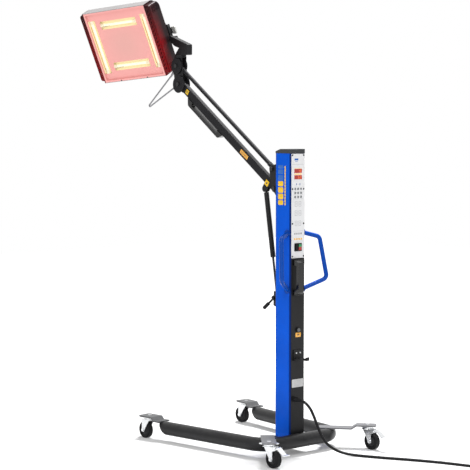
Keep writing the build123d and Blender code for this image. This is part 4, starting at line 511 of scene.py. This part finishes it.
@dataclass(frozen=True)
class LitCap(TwoTone):
    """The head's caps: nearly black, with the lamps' red light on the side by the tray."""

    second: Colour = (0.16, 0.002, 0.004)
    depth: Pair = (-62.0, -4.0)
    height: Pair = (150.0, -20.0)
    top_share: float = 0.12
    stripe_scale: float = 120.0
    stripe_detail: float = 2.0
    stripe: Sequence[float] = (0.35, 0.65, 0.55)
    strength: float = 0.45

    def share(self, tree: Tree) -> Socket:
        """Work out how red the cap is.

        Args:
            tree: The tree that the steps are added to.

        Returns:
            The share, highest by the lit side and below its middle.
        """
        near = tree.zone(along_head(tree, OUT), *self.depth)
        low = tree.zone(along_head(tree, UP), *self.height, self.top_share)
        stripes = tree.band(tree.noise(self.stripe_scale, self.stripe_detail), *self.stripe)
        return tree.math("MULTIPLY", tree.math("MULTIPLY", near, low), stripes)

    def shine(self, tree: Tree) -> Socket:
        """Return red light, by the same share."""
        return tree.mix(self.share(tree), BLACK, self.second)


# The column's blue paint, with painted shade on its front and rear corners.
COLUMN_BLUE = ShadedColumnPaint(
    "column_blue_coat_shaded_corners", (0.001, 0.108, 0.74), 0.34, grain=650.0, relief=0.08, specular=0.08,
    mottle=0.08, dust=0.0)
HANDLE_BLUE = Finish(
    "blue_handle_coat", (0.001, 0.064, 0.4), 0.3, grain=650.0, relief=0.08, specular=0.16,
    mottle=0.05)
BLACK_PAINT = Finish(
    "black_powder_coat", (0.012, 0.012, 0.013), 0.42, relief=0.16, specular=0.16, wear=0.25,
    wear_colour=(0.16, 0.16, 0.17), mottle=0.12)
GREY_PAINT = Finish(
    "dark_grey_textured_coat", (0.016, 0.016, 0.018), 0.6, grain=1400.0, relief=0.3, specular=0.12,
    wear=0.25, wear_colour=(0.2, 0.2, 0.21), mottle=0.1)
TUBE_PAINT = Finish(
    "black_tube_coat", (0.01, 0.01, 0.011), 0.33, relief=0.12, specular=0.26, wear=0.3, mottle=0.12)
PANEL_WHITE = Finish("printed_panel_sheet", (0.88, 0.88, 0.89), 0.42, mottle=0.02, dust=0.03)
BLACK_PLASTIC = Finish(
    "grained_black_plastic", (0.007, 0.007, 0.008), 0.48, grain=1600.0, relief=0.35, mottle=0.08,
    specular=0.14)
GRIP_PLASTIC = Finish(
    "smooth_grip_plastic", (0.002, 0.002, 0.0025), 0.24, grain=1600.0, relief=0.12, specular=0.45,
    mottle=0.08)
GREY_PLASTIC = Finish("smooth_grey_plastic", (0.1, 0.105, 0.11), 0.4, relief=0.06)
CAP_GREY = Finish(
    "dark_grey_cap_plastic", (0.034, 0.037, 0.04), 0.45, grain=1500.0, relief=0.25, specular=0.3)
CAP_PLASTIC = LitCap(
    "red_lit_cap_plastic", (0.012, 0.006, 0.007), 0.4, grain=1600.0, relief=0.2, specular=0.1)
# The reflector, with the lamps' pink light painted on as its colour and glow.
REFLECTOR = LitTray("pink_lit_reflector", (0.66, 0.29, 0.27), 0.46, mottle=0.03, dust=0.0)
CORD_RUBBER = Finish(
    "black_cord_rubber", (0.008, 0.008, 0.009), 0.45, grain=1200.0, relief=0.2, mottle=0.1,
    specular=0.15)
KEY_GREY = Finish("membrane_key", (0.33, 0.34, 0.35), 0.5, mottle=0.05)
BUTTON_PAIR = SplitFinish(
    "green_over_red_button", (0.5, 0.02, 0.015), 0.25, relief=0.03, coat=0.3,
    second=(0.03, 0.3, 0.1), split=890.0)
ZINC = Finish(
    "zinc_plated_steel", (0.72, 0.73, 0.74), 0.32, 1.0, Effect.BRUSH, grain=500.0, mottle=0.12,
    gloss_swing=0.1, dust=0.08, stretch=(0.3, 1.0, 1.0))
CLAMP_STEEL = Finish("pale_clamp_steel", (0.42, 0.42, 0.4), 0.4, 0.15, relief=0.08, mottle=0.08)
BAR_STEEL = Finish(
    "grey_bar_coat", (0.16, 0.16, 0.17), 0.42, 0.3, relief=0.15, wear=0.3, mottle=0.1)
PLATE_STEEL = Finish(
    "dark_plate_coat", (0.075, 0.076, 0.08), 0.42, 0.2, relief=0.15, wear=0.4, mottle=0.12)
SCREW_STEEL = SplitFinish(
    "panel_screw_steel", (0.5, 0.51, 0.52), 0.35, 0.6, second=(0.02, 0.02, 0.02), split=700.0)
BLACK_STEEL = Finish("blackened_steel", (0.02, 0.02, 0.021), 0.4, 0.4, relief=0.08)
WIRE_STEEL = Finish("grey_wire_steel", (0.22, 0.22, 0.23), 0.4, 0.7, Effect.BRUSH, mottle=0.1)
SHELL_ALLOY = Finish(
    "satin_shell_sheet", (0.27, 0.26, 0.26), 0.42, 0.5, Effect.BRUSH, grain=500.0, dust=0.03)
MODULE_ALLOY = Finish("milled_alloy", (0.5, 0.51, 0.52), 0.35, 1.0, Effect.BRUSH, relief=0.06)
BOARD_GREEN = Finish("solder_mask_green", (0.015, 0.1, 0.04), 0.35)
PRINT_DARK = Finish("dark_print", (0.05, 0.05, 0.06), 0.55, relief=0.03, mottle=0.05)
PRINT_GREY = Finish("grey_print", (0.36, 0.36, 0.37), 0.55, relief=0.03, mottle=0.05)
PRINT_BLUE = Finish("blue_print", (0.05, 0.1, 0.34), 0.55, relief=0.03, mottle=0.05)
PRINT_PALE = Finish("pale_label_sheet", (0.6, 0.6, 0.6), 0.5, relief=0.04)
PRINT_YELLOW = Finish("yellow_label_sheet", (1.0, 0.62, 0.02), 0.45, relief=0.04, mottle=0.05)
PRINT_ORANGE = Finish("orange_label_sheet", (1.0, 0.5, 0.08), 0.45, relief=0.04, mottle=0.05)
PRINT_NAVY = Finish("navy_label_sheet", (0.02, 0.14, 0.52), 0.45, relief=0.04, mottle=0.1)
WINDOW_RED = Glowing(
    "dark_red_window", (0.26, 0.014, 0.008), 0.2, relief=0.02, mottle=0.05, coat=0.2,
    glow=(0.4, 0.02, 0.01), strength=0.5)
LENS_ORANGE = Glowing(
    "orange_lens", (0.8, 0.42, 0.04), 0.25, relief=0.02, coat=0.2, glow=(0.85, 0.48, 0.05),
    strength=0.25)
DIGIT_LIGHT = Glowing(
    "lit_digit", (0.85, 0.16, 0.03), 0.3, relief=0.0, dust=0.0, glow=(1.0, 0.22, 0.04),
    strength=0.7)
STRIP_LIGHT = Glowing(
    "lit_strip", (0.9, 0.55, 0.08), 0.4, relief=0.0, dust=0.0, glow=(1.0, 0.55, 0.06), strength=0.4)
FILAMENT = Glowing(
    "glowing_filament", (0.5, 0.24, 0.06), 0.4, relief=0.0, dust=0.0, glow=(0.5, 0.22, 0.05),
    strength=0.35)
QUARTZ = Glowing(
    "glowing_quartz", (0.8, 0.78, 0.6), 0.2, relief=0.0, mottle=0.03, dust=0.0,
    glow=(1.0, 0.97, 0.76), strength=0.5)
# The lamps' ceramic ends, with a painted glow of the lamps' light on them.
CERAMIC_WITH_PAINTED_GLOW = Glowing(
    "glazed_ceramic_painted_glow", (0.72, 0.66, 0.5), 0.3, dust=0.02, glow=(0.8, 0.7, 0.44), strength=0.4)

SLOT_FINISHES: Dict[str, Finish] = {
    "black_paint": BLACK_PAINT, "dark_grey_paint": GREY_PAINT, "white_panel": PANEL_WHITE,
    "black_plastic": BLACK_PLASTIC, "window_red": WINDOW_RED, "lens_orange": LENS_ORANGE,
    "key_grey": KEY_GREY, "zinc_steel": ZINC, "reflector": REFLECTOR, "quartz": QUARTZ,
    "ceramic": CERAMIC_WITH_PAINTED_GLOW, "board_green": BOARD_GREEN, "module_alloy": MODULE_ALLOY,
    "cord_rubber": CORD_RUBBER, "shell_alloy": SHELL_ALLOY}

NODE_FINISHES: Dict[str, Finish] = {
    "head_end_caps": CAP_PLASTIC, "column_screws": SCREW_STEEL, "start_button": BUTTON_PAIR,
    "stop_button": BLACK_PLASTIC, "reset_button": GREY_PLASTIC, "link_bolts": BLACK_STEEL,
    "bracket_bolts": BLACK_STEEL, "gas_rod": BLACK_STEEL, "wire_handle": WIRE_STEEL,
    "side_handles": HANDLE_BLUE, "pull_grip": GRIP_PLASTIC, "arm_grip": GRIP_PLASTIC,
    "tilt_clamp": CLAMP_STEEL, "column_shell": COLUMN_BLUE, "base_tube": TUBE_PAINT,
    "rear_caster_bars": BAR_STEEL, "front_caster_plates": PLATE_STEEL, "column_cap": CAP_GREY}


def dress(piece: Piece, finish: Finish) -> None:
    """Give a piece or a CAD node one finish all over."""
    piece.data.materials.clear()
    piece.data.materials.append(finish.build())


@dataclass
class CadNodes:
    """The nodes of the CAD model, which keep their shapes and get their finishes."""

    wheel_slot: str = "wheel_rubber"

    def finish(self, node: str, slot: str) -> Finish:
        """Choose the finish of a node. A wheel's is measured from its own axle.

        Args:
            node: The CAD node.
            slot: Its slot in the record.

        Returns:
            The finish.
        """
        if slot != self.wheel_slot:
            return NODE_FINISHES.get(node) or SLOT_FINISHES[slot]
        low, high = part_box(node)
        return WheelFinish(f"{node}_rubber", (0.01, 0.01, 0.011), 0.55, grain=1100.0,
                           relief=0.3, mottle=0.15, dust=0.1, specular=0.12,
                           middle=tuple((low + high) / 2))

    def build(self) -> None:
        """Give every CAD node its own finish, or else the finish of its slot in the record."""
        for subpart in frame["record"]["subparts"]:
            node = subpart["node"]
            finish = self.finish(node, subpart["material_slot"])
            dress(frame["nodes"][node], finish)
            log.info("%s dressed in %s", node, finish.name)


# Mesh helpers


SMOOTH_ANGLE = 40.0
ROUND_CORNERS = 32
RIM_OF_THICKNESS, RIM_OF_WIDTH, FRONT_FROM = 0.3, 0.2, 0.4
LOOKS_OUT = 0.9


def clear_selection() -> None:
    """Leave edit mode and deselect every object."""
    if bpy.context.object and bpy.context.object.mode != "OBJECT":
        bpy.ops.object.mode_set(mode="OBJECT")
    bpy.ops.object.select_all(action="DESELECT")


def select_only(pieces: Sequence[Piece]) -> None:
    """Select some pieces and nothing else, with the first of them active.

    Args:
        pieces: The pieces.
    """
    clear_selection()
    for piece in pieces:
        piece.select_set(True)
    bpy.context.view_layer.objects.active = pieces[0]


def open_mesh(piece: Piece, faces: bool, test: Callable[[object], bool]) -> None:
    """Open a piece in edit mode, with only the parts selected that pass a test.

    Args:
        piece: The piece.
        faces: Whether the parts are its faces, and not its edges.
        test: Takes one part of the mesh.
    """
    select_only([piece])
    bpy.context.tool_settings.mesh_select_mode = (False, not faces, faces)
    mesh = piece.data
    for group in (mesh.vertices, mesh.edges, mesh.polygons):
        group.foreach_set("select", [False] * len(group))
    for part in mesh.polygons if faces else mesh.edges:
        part.select = test(part)
    bpy.ops.object.mode_set(mode="EDIT")


def bevel_where(piece: Piece, test: Callable[[float, float], bool], offset: float,
                segments: int) -> None:
    """Round the edges of a piece that pass a test.

    Args:
        piece: The piece.
        test: Takes the heights of an edge's two ends in the piece's own metres.
        offset: How far the rounding starts from the edge, in millimetres.
        segments: Steps in the rounding.
    """
    points = piece.data.vertices
    open_mesh(piece, False, lambda edge: test(*(points[index].co.z for index in edge.vertices)))
    bpy.ops.mesh.bevel(offset=offset * MM, segments=segments, affect="EDGES")
    bpy.ops.object.mode_set(mode="OBJECT")


def tile(face: Face, spot: Pair, size: Pair, thick: float, corner: float, lift: float) -> Piece:
    """Model a thin plate with rounded corners and a soft front rim, flat on a side of the lamp.

    Args:
        face: The side.
        spot: Across and up on the side, in millimetres.
        size: Width and height.
        thick: Thickness.
        corner: Radius of the four corners, or 0.
        lift: Height of its back above the side.

    Returns:
        The plate.
    """
    clear_selection()
    bpy.ops.mesh.primitive_cube_add(
        size=1.0, location=face.place(*spot, lift + thick / 2), rotation=face.axes.to_euler(),
        scale=(size[0] * MM, size[1] * MM, thick * MM))
    piece = bpy.context.object
    bpy.ops.object.transform_apply(location=False, rotation=False, scale=True)
    if corner > 0:
        bevel_where(piece, lambda one, other: abs(one - other) > thick * MM / 2, corner, 3)
    rim = min(thick * RIM_OF_THICKNESS, min(size) * RIM_OF_WIDTH)
    bevel_where(piece, lambda one, other: min(one, other) > thick * MM * FRONT_FROM, rim, 2)
    return piece


def turned(face: Face, spot: Pair, radius: float, depth: float, steps: Sequence[Pair],
           lift: float = 0.0) -> Piece:
    """Model a round piece standing on a side of the lamp: a drum whose end is set in by steps.

    Args:
        face: The side.
        spot: Across and up on the side, in millimetres.
        radius: Radius of the drum.
        depth: Height of the drum.
        steps: How far the end goes inwards and rises at each step.
        lift: Height of its back above the side.

    Returns:
        The piece.
    """
    clear_selection()
    bpy.ops.mesh.primitive_cylinder_add(
        vertices=ROUND_CORNERS, radius=radius * MM, depth=depth * MM,
        location=face.place(*spot, lift + depth / 2), rotation=face.axes.to_euler())
    piece = bpy.context.object
    open_mesh(piece, True, lambda polygon: polygon.normal.z > LOOKS_OUT)
    for inward, rise in steps:
        bpy.ops.mesh.inset(thickness=inward * MM, depth=rise * MM)
    bpy.ops.object.mode_set(mode="OBJECT")
    return piece


def copy_to(pattern: Piece, offset: Vector) -> Piece:
    """Copy a modelled piece to another place, with a mesh of its own.

    Args:
        pattern: The piece.
        offset: The way to the copy's place, in metres.

    Returns:
        The copy.
    """
    twin = pattern.copy()
    twin.data = pattern.data.copy()
    twin.location = pattern.location + offset
    bpy.context.scene.collection.objects.link(twin)
    return twin


def settle(pieces: Sequence[Piece], name: str, body: str, finish: Finish) -> None:
    """Finish a new piece: it is joined, its place goes into its mesh and it rides on its body.

    Args:
        pieces: The objects as modelled, in place, which become one piece.
        name: Its name in the file.
        body: The CAD body that it moves with.
        finish: Its finish.
    """
    select_only(pieces)
    piece = pieces[0]
    if len(pieces) > 1:
        bpy.ops.object.join()
    bpy.ops.object.shade_smooth_by_angle(angle=math.radians(SMOOTH_ANGLE))
    piece.data.transform(piece.matrix_world)
    piece.matrix_world = Matrix.Identity(4)
    piece.name = piece.data.name = name
    dress(piece, finish)
    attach(piece, body)
    log.info("%s built, rides on %s", name, body)


@dataclass
class Print:
    """Flat marks of one colour on one side of the lamp: across, up, width and height of each."""

    name: str
    face: Face
    finish: Finish
    plates: Plates
    body: str = "stand"
    slot: str = "white_panel"
    thick: float = 0.3
    corner: float = 0.0
    lift: float = 0.0

    def build(self) -> None:
        """Model one mark of each size, copy it to its other places and join them all."""
        patterns: Dict[Pair, Tuple[Piece, Vector]] = {}
        pieces = []
        for across, up, *size in self.plates:
            middle = self.face.place(across, up)
            if tuple(size) in patterns:
                pattern, first = patterns[tuple(size)]
                pieces.append(copy_to(pattern, middle - first))
            else:
                pieces.append(tile(self.face, (across, up), size, self.thick, self.corner,
                                   self.lift))
                patterns[tuple(size)] = (pieces[-1], middle)
        settle(pieces, self.name, self.body, self.finish)


def moved(plates: Plates, across: float, up: float) -> List[Plate]:
    """Return marks moved to another place on their side."""
    return [(x + across, y + up, width, height) for x, y, width, height in plates]


# The control panel and the labels


@dataclass
class ControlPanel:
    """Everything printed or lit on the white panel: digits, strips, key marks and pictograms."""

    windows: Sequence[float] = (1215, 1188)
    numbers: Sequence[str] = ("18", "60")
    digit_places: Pair = (2.0, 13.0)
    keys: Sequence[float] = (1138, 1121, 1104)
    key_pitch: float = 17.0
    icon_rows: Sequence[float] = (1074, 1035, 991)
    icon_places: Pair = (-11.0, 11.0)
    icon: Plates = ((0, 10, 13, 1), (0, -10, 13, 1), (-6.5, 0, 1, 20), (6.5, 0, 1, 20),
                    (0, 3, 8, 1), (0, -3, 8, 1))
    strips: Plates = ((0, 1201.5, 42, 4), (0, 1226, 42, 1.2))
    rules: Plates = ((0, 1243, 66, 0.8), (0, 1095, 60, 0.6), (0, 958, 60, 0.6))
    title: Plates = ((-10, 1264, 22, 8), (-10, 1255, 14, 2))
    arrows: Plates = ((-9, 1158, 4, 8), (11, 1158, 4, 8))
    status_row: Plates = tuple((across, 947, 7, 8) for across in (-18, -6, 6, 18))
    switch_mark: Plates = ((8, 915, 30, 1.2),)

    SEGMENTS = {"0": "abcdef", "1": "bc", "6": "acdefg", "8": "abcdefg"}
    BARS = {"a": (0, 5, 5, 1.1), "g": (0, 0, 5, 1.1), "d": (0, -5, 5, 1.1),
            "f": (-3, 2.5, 1.1, 4), "b": (3, 2.5, 1.1, 4),
            "e": (-3, -2.5, 1.1, 4), "c": (3, -2.5, 1.1, 4)}

    def digits(self) -> List[Plate]:
        """Return the lit bars of both numbers."""
        return [bar for up, number in zip(self.windows, self.numbers)
                for sign, across in zip(number, self.digit_places)
                for bar in moved([self.BARS[key] for key in self.SEGMENTS[sign]], across, up)]

    def build(self) -> None:
        """Model the panel's marks."""
        panel, window = back_face("control_panel"), back_face("number_windows")
        icons = [line for up in self.icon_rows for across in self.icon_places
                 for line in moved(self.icon, across, up)]
        marks = [(across, up, 4, 5) for up in self.keys
                 for across in (-self.key_pitch, 0.0, self.key_pitch)]
        for item in (
                Print("lit_digits", window, DIGIT_LIGHT, self.digits(), slot="window_red"),
                Print("lit_strip", panel, STRIP_LIGHT, self.strips, slot="lens_orange"),
                Print("key_marks", back_face("key_pad"), PRINT_DARK, marks, corner=1.0),
                Print("panel_rules", panel, PRINT_GREY, self.rules),
                Print("panel_title_block", panel, PRINT_NAVY, self.title, corner=0.8),
                Print("panel_pictograms", panel, PRINT_GREY, icons),
                Print("panel_arrows", panel, PRINT_BLUE, self.arrows, corner=1.0),
                Print("panel_status_row", panel, PRINT_GREY, self.status_row),
                Print("switch_mark", panel, PRINT_PALE, self.switch_mark)):
            item.build()


@dataclass
class Labels:
    """The plates on the lower panel, the column's side and the arm, left without any wording."""

    arm_angle: float = 35.27
    arm_pivot: Pair = (85.0, 1136.0)
    mark_thick: float = 0.2
    mark_lift: float = 0.3
    rating_plate: Plate = (0, 302.5, 66, 35)
    rating_pitch: float = 5.5
    tag: Plate = (3, 511.5, 30, 19)
    tag_mark: Plate = (3, 511.5, 13, 6)
    yellow: Plates = ((-12, 1079, 32, 20), (-12, 1105, 32, 24), (-12, 1133, 32, 24),
                      (-12, 1160, 32, 22))
    navy: Plates = ((-12, 1186, 32, 22), (-12, 1211, 32, 20), (-12, 1232, 32, 14))
    strip: Plates = tuple((16, 1074 + 13 * row, 7, 11) for row in range(13))
    head_tag: Plate = (-732, 0, 20, 22)
    head_mark: Plate = (-732, 0, 7, 9)
    middle_tag: Plate = (-249, 0, 58, 18)
    middle_lines: Plates = tuple((-249, 3 * row, 46, 0.8) for row in (-1, 0, 1))
    spring_tag: Plate = (-56, -13, 24, 24)
    spring_mark: Plate = (-56, -13, 7, 10)

    def mark(self, name: str, face: Face, plates: Plates, body: str = "stand",
             corner: float = 0.0, finish: Finish = PRINT_DARK) -> Print:
        """Return marks that lie on a plate."""
        return Print(name, face, finish, plates, body, thick=self.mark_thick, corner=corner,
                     lift=self.mark_lift)

    def lower_panel(self) -> List[Print]:
        """Work out the plates of the lower panel.

        Returns:
            The plates and their marks.
        """
        panel, middle = back_face("lower_panel"), self.rating_plate[1]
        lines = [(0, middle + self.rating_pitch * row, 50 - 6 * (row % 2), 0.8)
                 for row in range(-2, 3)]
        return [Print("rating_plate", panel, PRINT_PALE, [self.rating_plate], corner=1.5),
                self.mark("rating_lines", panel, lines, finish=PRINT_GREY),
                Print("orange_tag", panel, PRINT_ORANGE, [self.tag], corner=1.0,
                      slot="lens_orange"),
                self.mark("orange_tag_mark", panel, [self.tag_mark], corner=1.0)]

    def column_side(self) -> List[Print]:
        """Work out the colour blocks on the column's near side.

        Returns:
            The blocks.
        """
        side = near_face("column_shell")
        return [Print("side_blocks_yellow", side, PRINT_YELLOW, self.yellow, corner=5.0,
                      slot="lens_orange"),
                Print("side_blocks_navy", side, PRINT_NAVY, self.navy, corner=4.0,
                      slot="blue_paint"),
                Print("side_strip", side, PRINT_YELLOW, self.strip, corner=1.0,
                      slot="lens_orange")]

    def arm(self) -> List[Print]:
        """Work out the arm's plates, by their distance from its pivot.

        Returns:
            The plates and their marks.
        """
        angle, (ahead, high) = math.radians(self.arm_angle), self.arm_pivot
        side = Face((ahead, near_face("arm_tube").origin[1], high),
                    (-math.cos(angle), 0.0, -math.sin(angle)), NEARWARD)
        tags = (("head", PRINT_YELLOW, self.head_tag, "head_mark", [self.head_mark], 2.0),
                ("middle", PRINT_ORANGE, self.middle_tag, "lines", self.middle_lines, 0.0),
                ("spring", PRINT_YELLOW, self.spring_tag, "spring_mark", [self.spring_mark], 2.0))
        return [item for name, finish, plate, mark, lines, corner in tags for item in (
            Print(f"arm_tag_{name}", side, finish, [plate], "arm", "lens_orange", corner=1.0),
            self.mark(f"arm_tag_{mark}", side, lines, "arm", corner))]

    def build(self) -> None:
        """Model all plates."""
        for item in self.lower_panel() + self.column_side() + self.arm():
            item.build()


# The lamp head and the cord's boot


@dataclass
class LampHead:
    """What shows on the lit side: glowing wires, marks on the lamps' ends and rim screws."""

    side_x: float = 148.0
    cross_y: float = 103.0
    wire_off: float = 2.5
    wire_size: Pair = (2.4, 218.0)
    wire_thick: float = 1.6
    wire_round: float = 1.0
    wire_lift: float = -1.2
    cross_marks: Plates = tuple((8 * index - 78, -2, 5, 2.2) for index in range(5))
    side_marks: Plates = tuple((1, -104 - 6 * index, 2.2, 4) for index in range(3))
    mark_thick: float = 0.4
    mark_lift: float = -0.3
    screw: Pair = (-80.0, -170.5)
    screw_size: Pair = (3.2, 0.8)
    screw_pitch: float = 150.0
    screw_steps: Sequence[Pair] = ((0.6, 0.5), (1.0, 0.2), (0.6, -0.5))

    def wire(self, name: str, across: float) -> None:
        """Model one glowing wire as a thin rod with rounded ends, half sunk in its tube."""
        piece = tile(HEAD_FACE, (across - self.wire_off, 0.0), self.wire_size, self.wire_thick,
                     self.wire_round, self.wire_lift)
        settle([piece], name, "head", FILAMENT)

    def end_marks(self) -> None:
        """Model the dark marks on the lamps' ends."""
        marks = [mark for side in (1, -1)
                 for mark in moved(self.cross_marks, 0.0, side * self.cross_y)]
        marks += [mark for side in (1, -1)
                  for mark in moved(self.side_marks, side * self.side_x, 0.0)]
        Print("lamp_end_marks", HEAD_FACE, PRINT_DARK, marks, "head", "ceramic",
              thick=self.mark_thick, lift=self.mark_lift).build()

    def screws(self) -> None:
        """Model the rim's two dark screws once and copy the second."""
        pattern = turned(HEAD_FACE, self.screw, *self.screw_size, self.screw_steps)
        way = HEAD_FACE.place(self.screw_pitch, 0.0) - HEAD_FACE.place(0.0, 0.0)
        settle([pattern, copy_to(pattern, way)], "rim_screws", "head", BLACK_STEEL)

    def build(self) -> None:
        """Model the head's small pieces."""
        self.wire("right_wire", self.side_x)
        self.wire("left_wire", -self.side_x)
        self.end_marks()
        self.screws()


@dataclass
class StrainBoot:
    """The soft boot that leads the cord out of its gland, set in rib by rib."""

    place: Pair = (-22.0, 236.0)
    radius: float = 9.6
    ribs: int = 6
    rib: Sequence[Pair] = ((0.35, 0.0), (0.05, 4.2), (0.15, 0.2))
    drum: float = 4.0

    def build(self) -> None:
        """Model the boot from a drum that starts inside the gland."""
        boot = turned(back_face("cable_gland"), self.place, self.radius, self.drum,
                      self.ribs * tuple(self.rib), lift=-self.drum / 2)
        settle([boot], "strain_boot", "stand", BLACK_PLASTIC)


# Camera, light and floor


@dataclass
class View:
    """The photograph's camera, in the frame's metres and degrees."""

    place: Place = (AXIS_X - 5.127002, 4.770, 1.440)
    pitch: float = 85.9
    heading: float = 229.0
    lens: float = 125.04
    sensor: float = 36.0
    clip_end: float = 100.0

    def build(self) -> None:
        """Create the camera and make it the scene's own."""
        data = bpy.data.cameras.new("photograph_camera")
        data.lens, data.sensor_width, data.clip_end = self.lens, self.sensor, self.clip_end
        camera = bpy.data.objects.new("photograph_camera", data)
        bpy.context.scene.collection.objects.link(camera)
        camera.location = self.place
        camera.rotation_euler = (math.radians(self.pitch), 0.0, math.radians(self.heading))
        bpy.context.scene.camera = camera
        log.info("camera set, lens %.2f mm", self.lens)


@dataclass(frozen=True)
class SoftLight:
    """One square light, which hangs at a place and is turned to its aim."""

    name: str
    place: Place
    aim: Place
    size: float
    power: float

    def build(self) -> None:
        """Hang the light."""
        data = bpy.data.lights.new(self.name, "AREA")
        data.energy, data.size = self.power, self.size
        light = bpy.data.objects.new(self.name, data)
        bpy.context.scene.collection.objects.link(light)
        light.location = self.place
        way = Vector(self.aim) - Vector(self.place)
        light.rotation_euler = way.to_track_quat("-Z", "Y").to_euler()


@dataclass
class Studio:
    """A plain pale floor, soft lights and a white background."""

    floor_half: float = 9.0
    floor_colour: Colour = (0.80, 0.80, 0.80)
    floor_roughness: float = 0.9
    floor_lift: float = 0.15
    floor_near: float = 0.95
    floor_far: float = 1.9
    ambient: float = 0.30
    lights: Sequence[SoftLight] = (
        SoftLight("key_light", (-3.2, 2.2, 3.6), (-0.2, 0.0, 0.9), 2.4, 95.0),
        SoftLight("fill_light", (-1.0, 4.4, 2.2), (0.0, 0.0, 1.0), 3.0, 20.0),
        SoftLight("top_light", (0.05, -0.9, 4.1), (-0.2, 0.0, 0.0), 1.0, 230.0))

    def seen(self, tree: Tree) -> Socket:
        """Tell the rays that show the surroundings from the rays that light the object.

        Args:
            tree: The tree that the steps are added to.

        Returns:
            1 on rays from the camera, off metal or through glass, and 0 on the others.
        """
        path = tree.add("ShaderNodeLightPath").outputs
        seen = tree.math("MAXIMUM", path["Is Camera Ray"], path["Is Glossy Ray"])
        return tree.math("MAXIMUM", seen, path["Is Transmission Ray"])

    def floor(self) -> None:
        """Lay the floor, which shows white but keeps the object's shadow."""
        clear_selection()
        bpy.ops.mesh.primitive_plane_add(size=2 * self.floor_half, location=(0.0, 0.0, 0.0))
        floor = bpy.context.object
        floor.name = "studio_floor"
        material = bpy.data.materials.new("studio_floor")
        material.use_nodes = True
        tree = Tree(material.node_tree)
        reach = tree.join("LENGTH", tree.add("ShaderNodeTexCoord").outputs["Object"])
        level = tree.band(reach, self.floor_near, self.floor_far, self.floor_lift, 1.0)
        for key, value in (("Base Color", self.floor_colour), ("Roughness", self.floor_roughness),
                           ("Specular IOR Level", 0.0), ("Emission Color", WHITE),
                           ("Emission Strength", tree.math("MULTIPLY", self.seen(tree), level))):
            tree.feed(material.node_tree.nodes[SHADER], key, value)
        floor.data.materials.append(material)

    def world(self) -> None:
        """Make the background white to the camera and to reflections, and dim as a light."""
        world = bpy.data.worlds.new("studio")
        bpy.context.scene.world = world
        world.use_nodes = True
        tree, background = Tree(world.node_tree), world.node_tree.nodes["Background"]
        tree.feed(background, "Color", WHITE)
        tree.feed(background, "Strength", tree.band(self.seen(tree), 0.0, 1.0, self.ambient))

    def build(self) -> None:
        """Set the floor, the world and the lights."""
        self.floor()
        self.world()
        for light in self.lights:
            light.build()
        bpy.context.scene.view_settings.view_transform = "Standard"
        log.info("studio set, %d lights", len(self.lights))


# The mains cord


@dataclass
class MainsCord:
    """The cord from the column's gland along the floor to its put-away coil and plug."""

    diameter: float = 12.0
    route: Sequence[Place] = (
        (-72, 22, 236), (-100, 22, 236), (-126.3, 19.7, 225.3), (-146.1, 14.4, 205.5),
        (-157.9, 6.1, 174.7), (-163, -12, 128), (-171, -32, 80), (-181, -50, 50),
        (-200, -73, 27.5), (-228, -99, 12), (-268, -124, 6), (-330, -150, 6), (-400, -185, 6),
        (-480, -230, 6), (-566, -272, 6), (-650, -306, 6), (-736.8, -331.4, 6),
        (-830.8, -365.4, 6))
    loops: int = 4
    pitch: float = 12.9
    outer: float = 92.0
    lift: float = 12.9
    tail: float = 72.0
    points_per_half: int = 8
    length: float = 4.7

    def half_turn(self, here: Vector, heading: Vector, radius: float,
                  rise: float) -> Tuple[List[Vector], Vector]:
        """Work out one half turn of the coil.

        Args:
            here: Where the half turn starts.
            heading: The cord's direction there.
            radius: The half turn's radius.
            rise: How far it climbs.

        Returns:
            The control points of the half turn, and where it ends.
        """
        left = Vector((0.0, 0.0, 1.0)).cross(heading)
        centre = here + left * radius
        step = math.pi / self.points_per_half
        reach = radius / math.cos(step / 2)
        points = []
        for index in range(self.points_per_half):
            angle = (index + 0.5) * step
            share = (index + 0.5) / self.points_per_half
            points.append(centre - left * reach * math.cos(angle)
                          + heading * reach * math.sin(angle) + Vector((0.0, 0.0, rise * share)))
        return points, here + left * (2 * radius) + Vector((0.0, 0.0, rise))

    def coil(self) -> List[Vector]:
        """Work out the coil's turns: inwards on the floor, a climb, then outwards on top.

        Returns:
            The control points from the route's end to the plug.
        """
        start, before = Vector(self.route[-1]), Vector(self.route[-2])
        heading = (start - before).normalized()
        here = start + heading * self.diameter
        points, radius, step = [here.copy()], self.outer, self.pitch / 2
        halves, climb = 2 * self.loops, [(self.lift, step)]
        for rise, widening in [(0.0, -step)] * halves + climb + [(0.0, step)] * halves:
            turn, here = self.half_turn(here, heading, radius, rise)
            points += turn
            heading, radius = -heading, radius + widening
        return points + [here + heading * self.diameter,
                         here + heading * (self.diameter + self.tail)]

    def line(self) -> Piece:
        """Draw the whole cord as one NURBS line with a round section.

        Returns:
            The line.
        """
        data = bpy.data.curves.new("mains_cord", "CURVE")
        data.dimensions = "3D"
        data.bevel_depth = self.diameter / 2 * MM
        data.bevel_resolution, data.resolution_u, data.use_fill_caps = 5, 6, True
        places = [Vector(point) for point in self.route] + self.coil()
        spline = data.splines.new("NURBS")
        spline.points.add(len(places) - 1)
        for point, place in zip(spline.points, places):
            point.co = (*at(*place), 1.0)
        spline.order_u, spline.use_endpoint_u = 3, True
        cord = bpy.data.objects.new("mains_cord", data)
        bpy.context.scene.collection.objects.link(cord)
        return cord

    def build(self) -> None:
        cord = self.line()
        dress(cord, CORD_RUBBER)
        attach(cord, "stand")
        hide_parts("cord_lead", "cord_coil", "cord_tail")
        log.info("mains cord laid, %d route points", len(self.route))


def main() -> None:
    """Build the camera, the cord, the dressed nodes, the new pieces and the studio."""
    logging.basicConfig(level=logging.INFO, format="%(name)s: %(message)s")
    for assembly in (View(), MainsCord(), CadNodes(), ControlPanel(), Labels(), LampHead(),
                     StrainBoot(), Studio()):
        assembly.build()


if __name__ == "__main__":
    main()
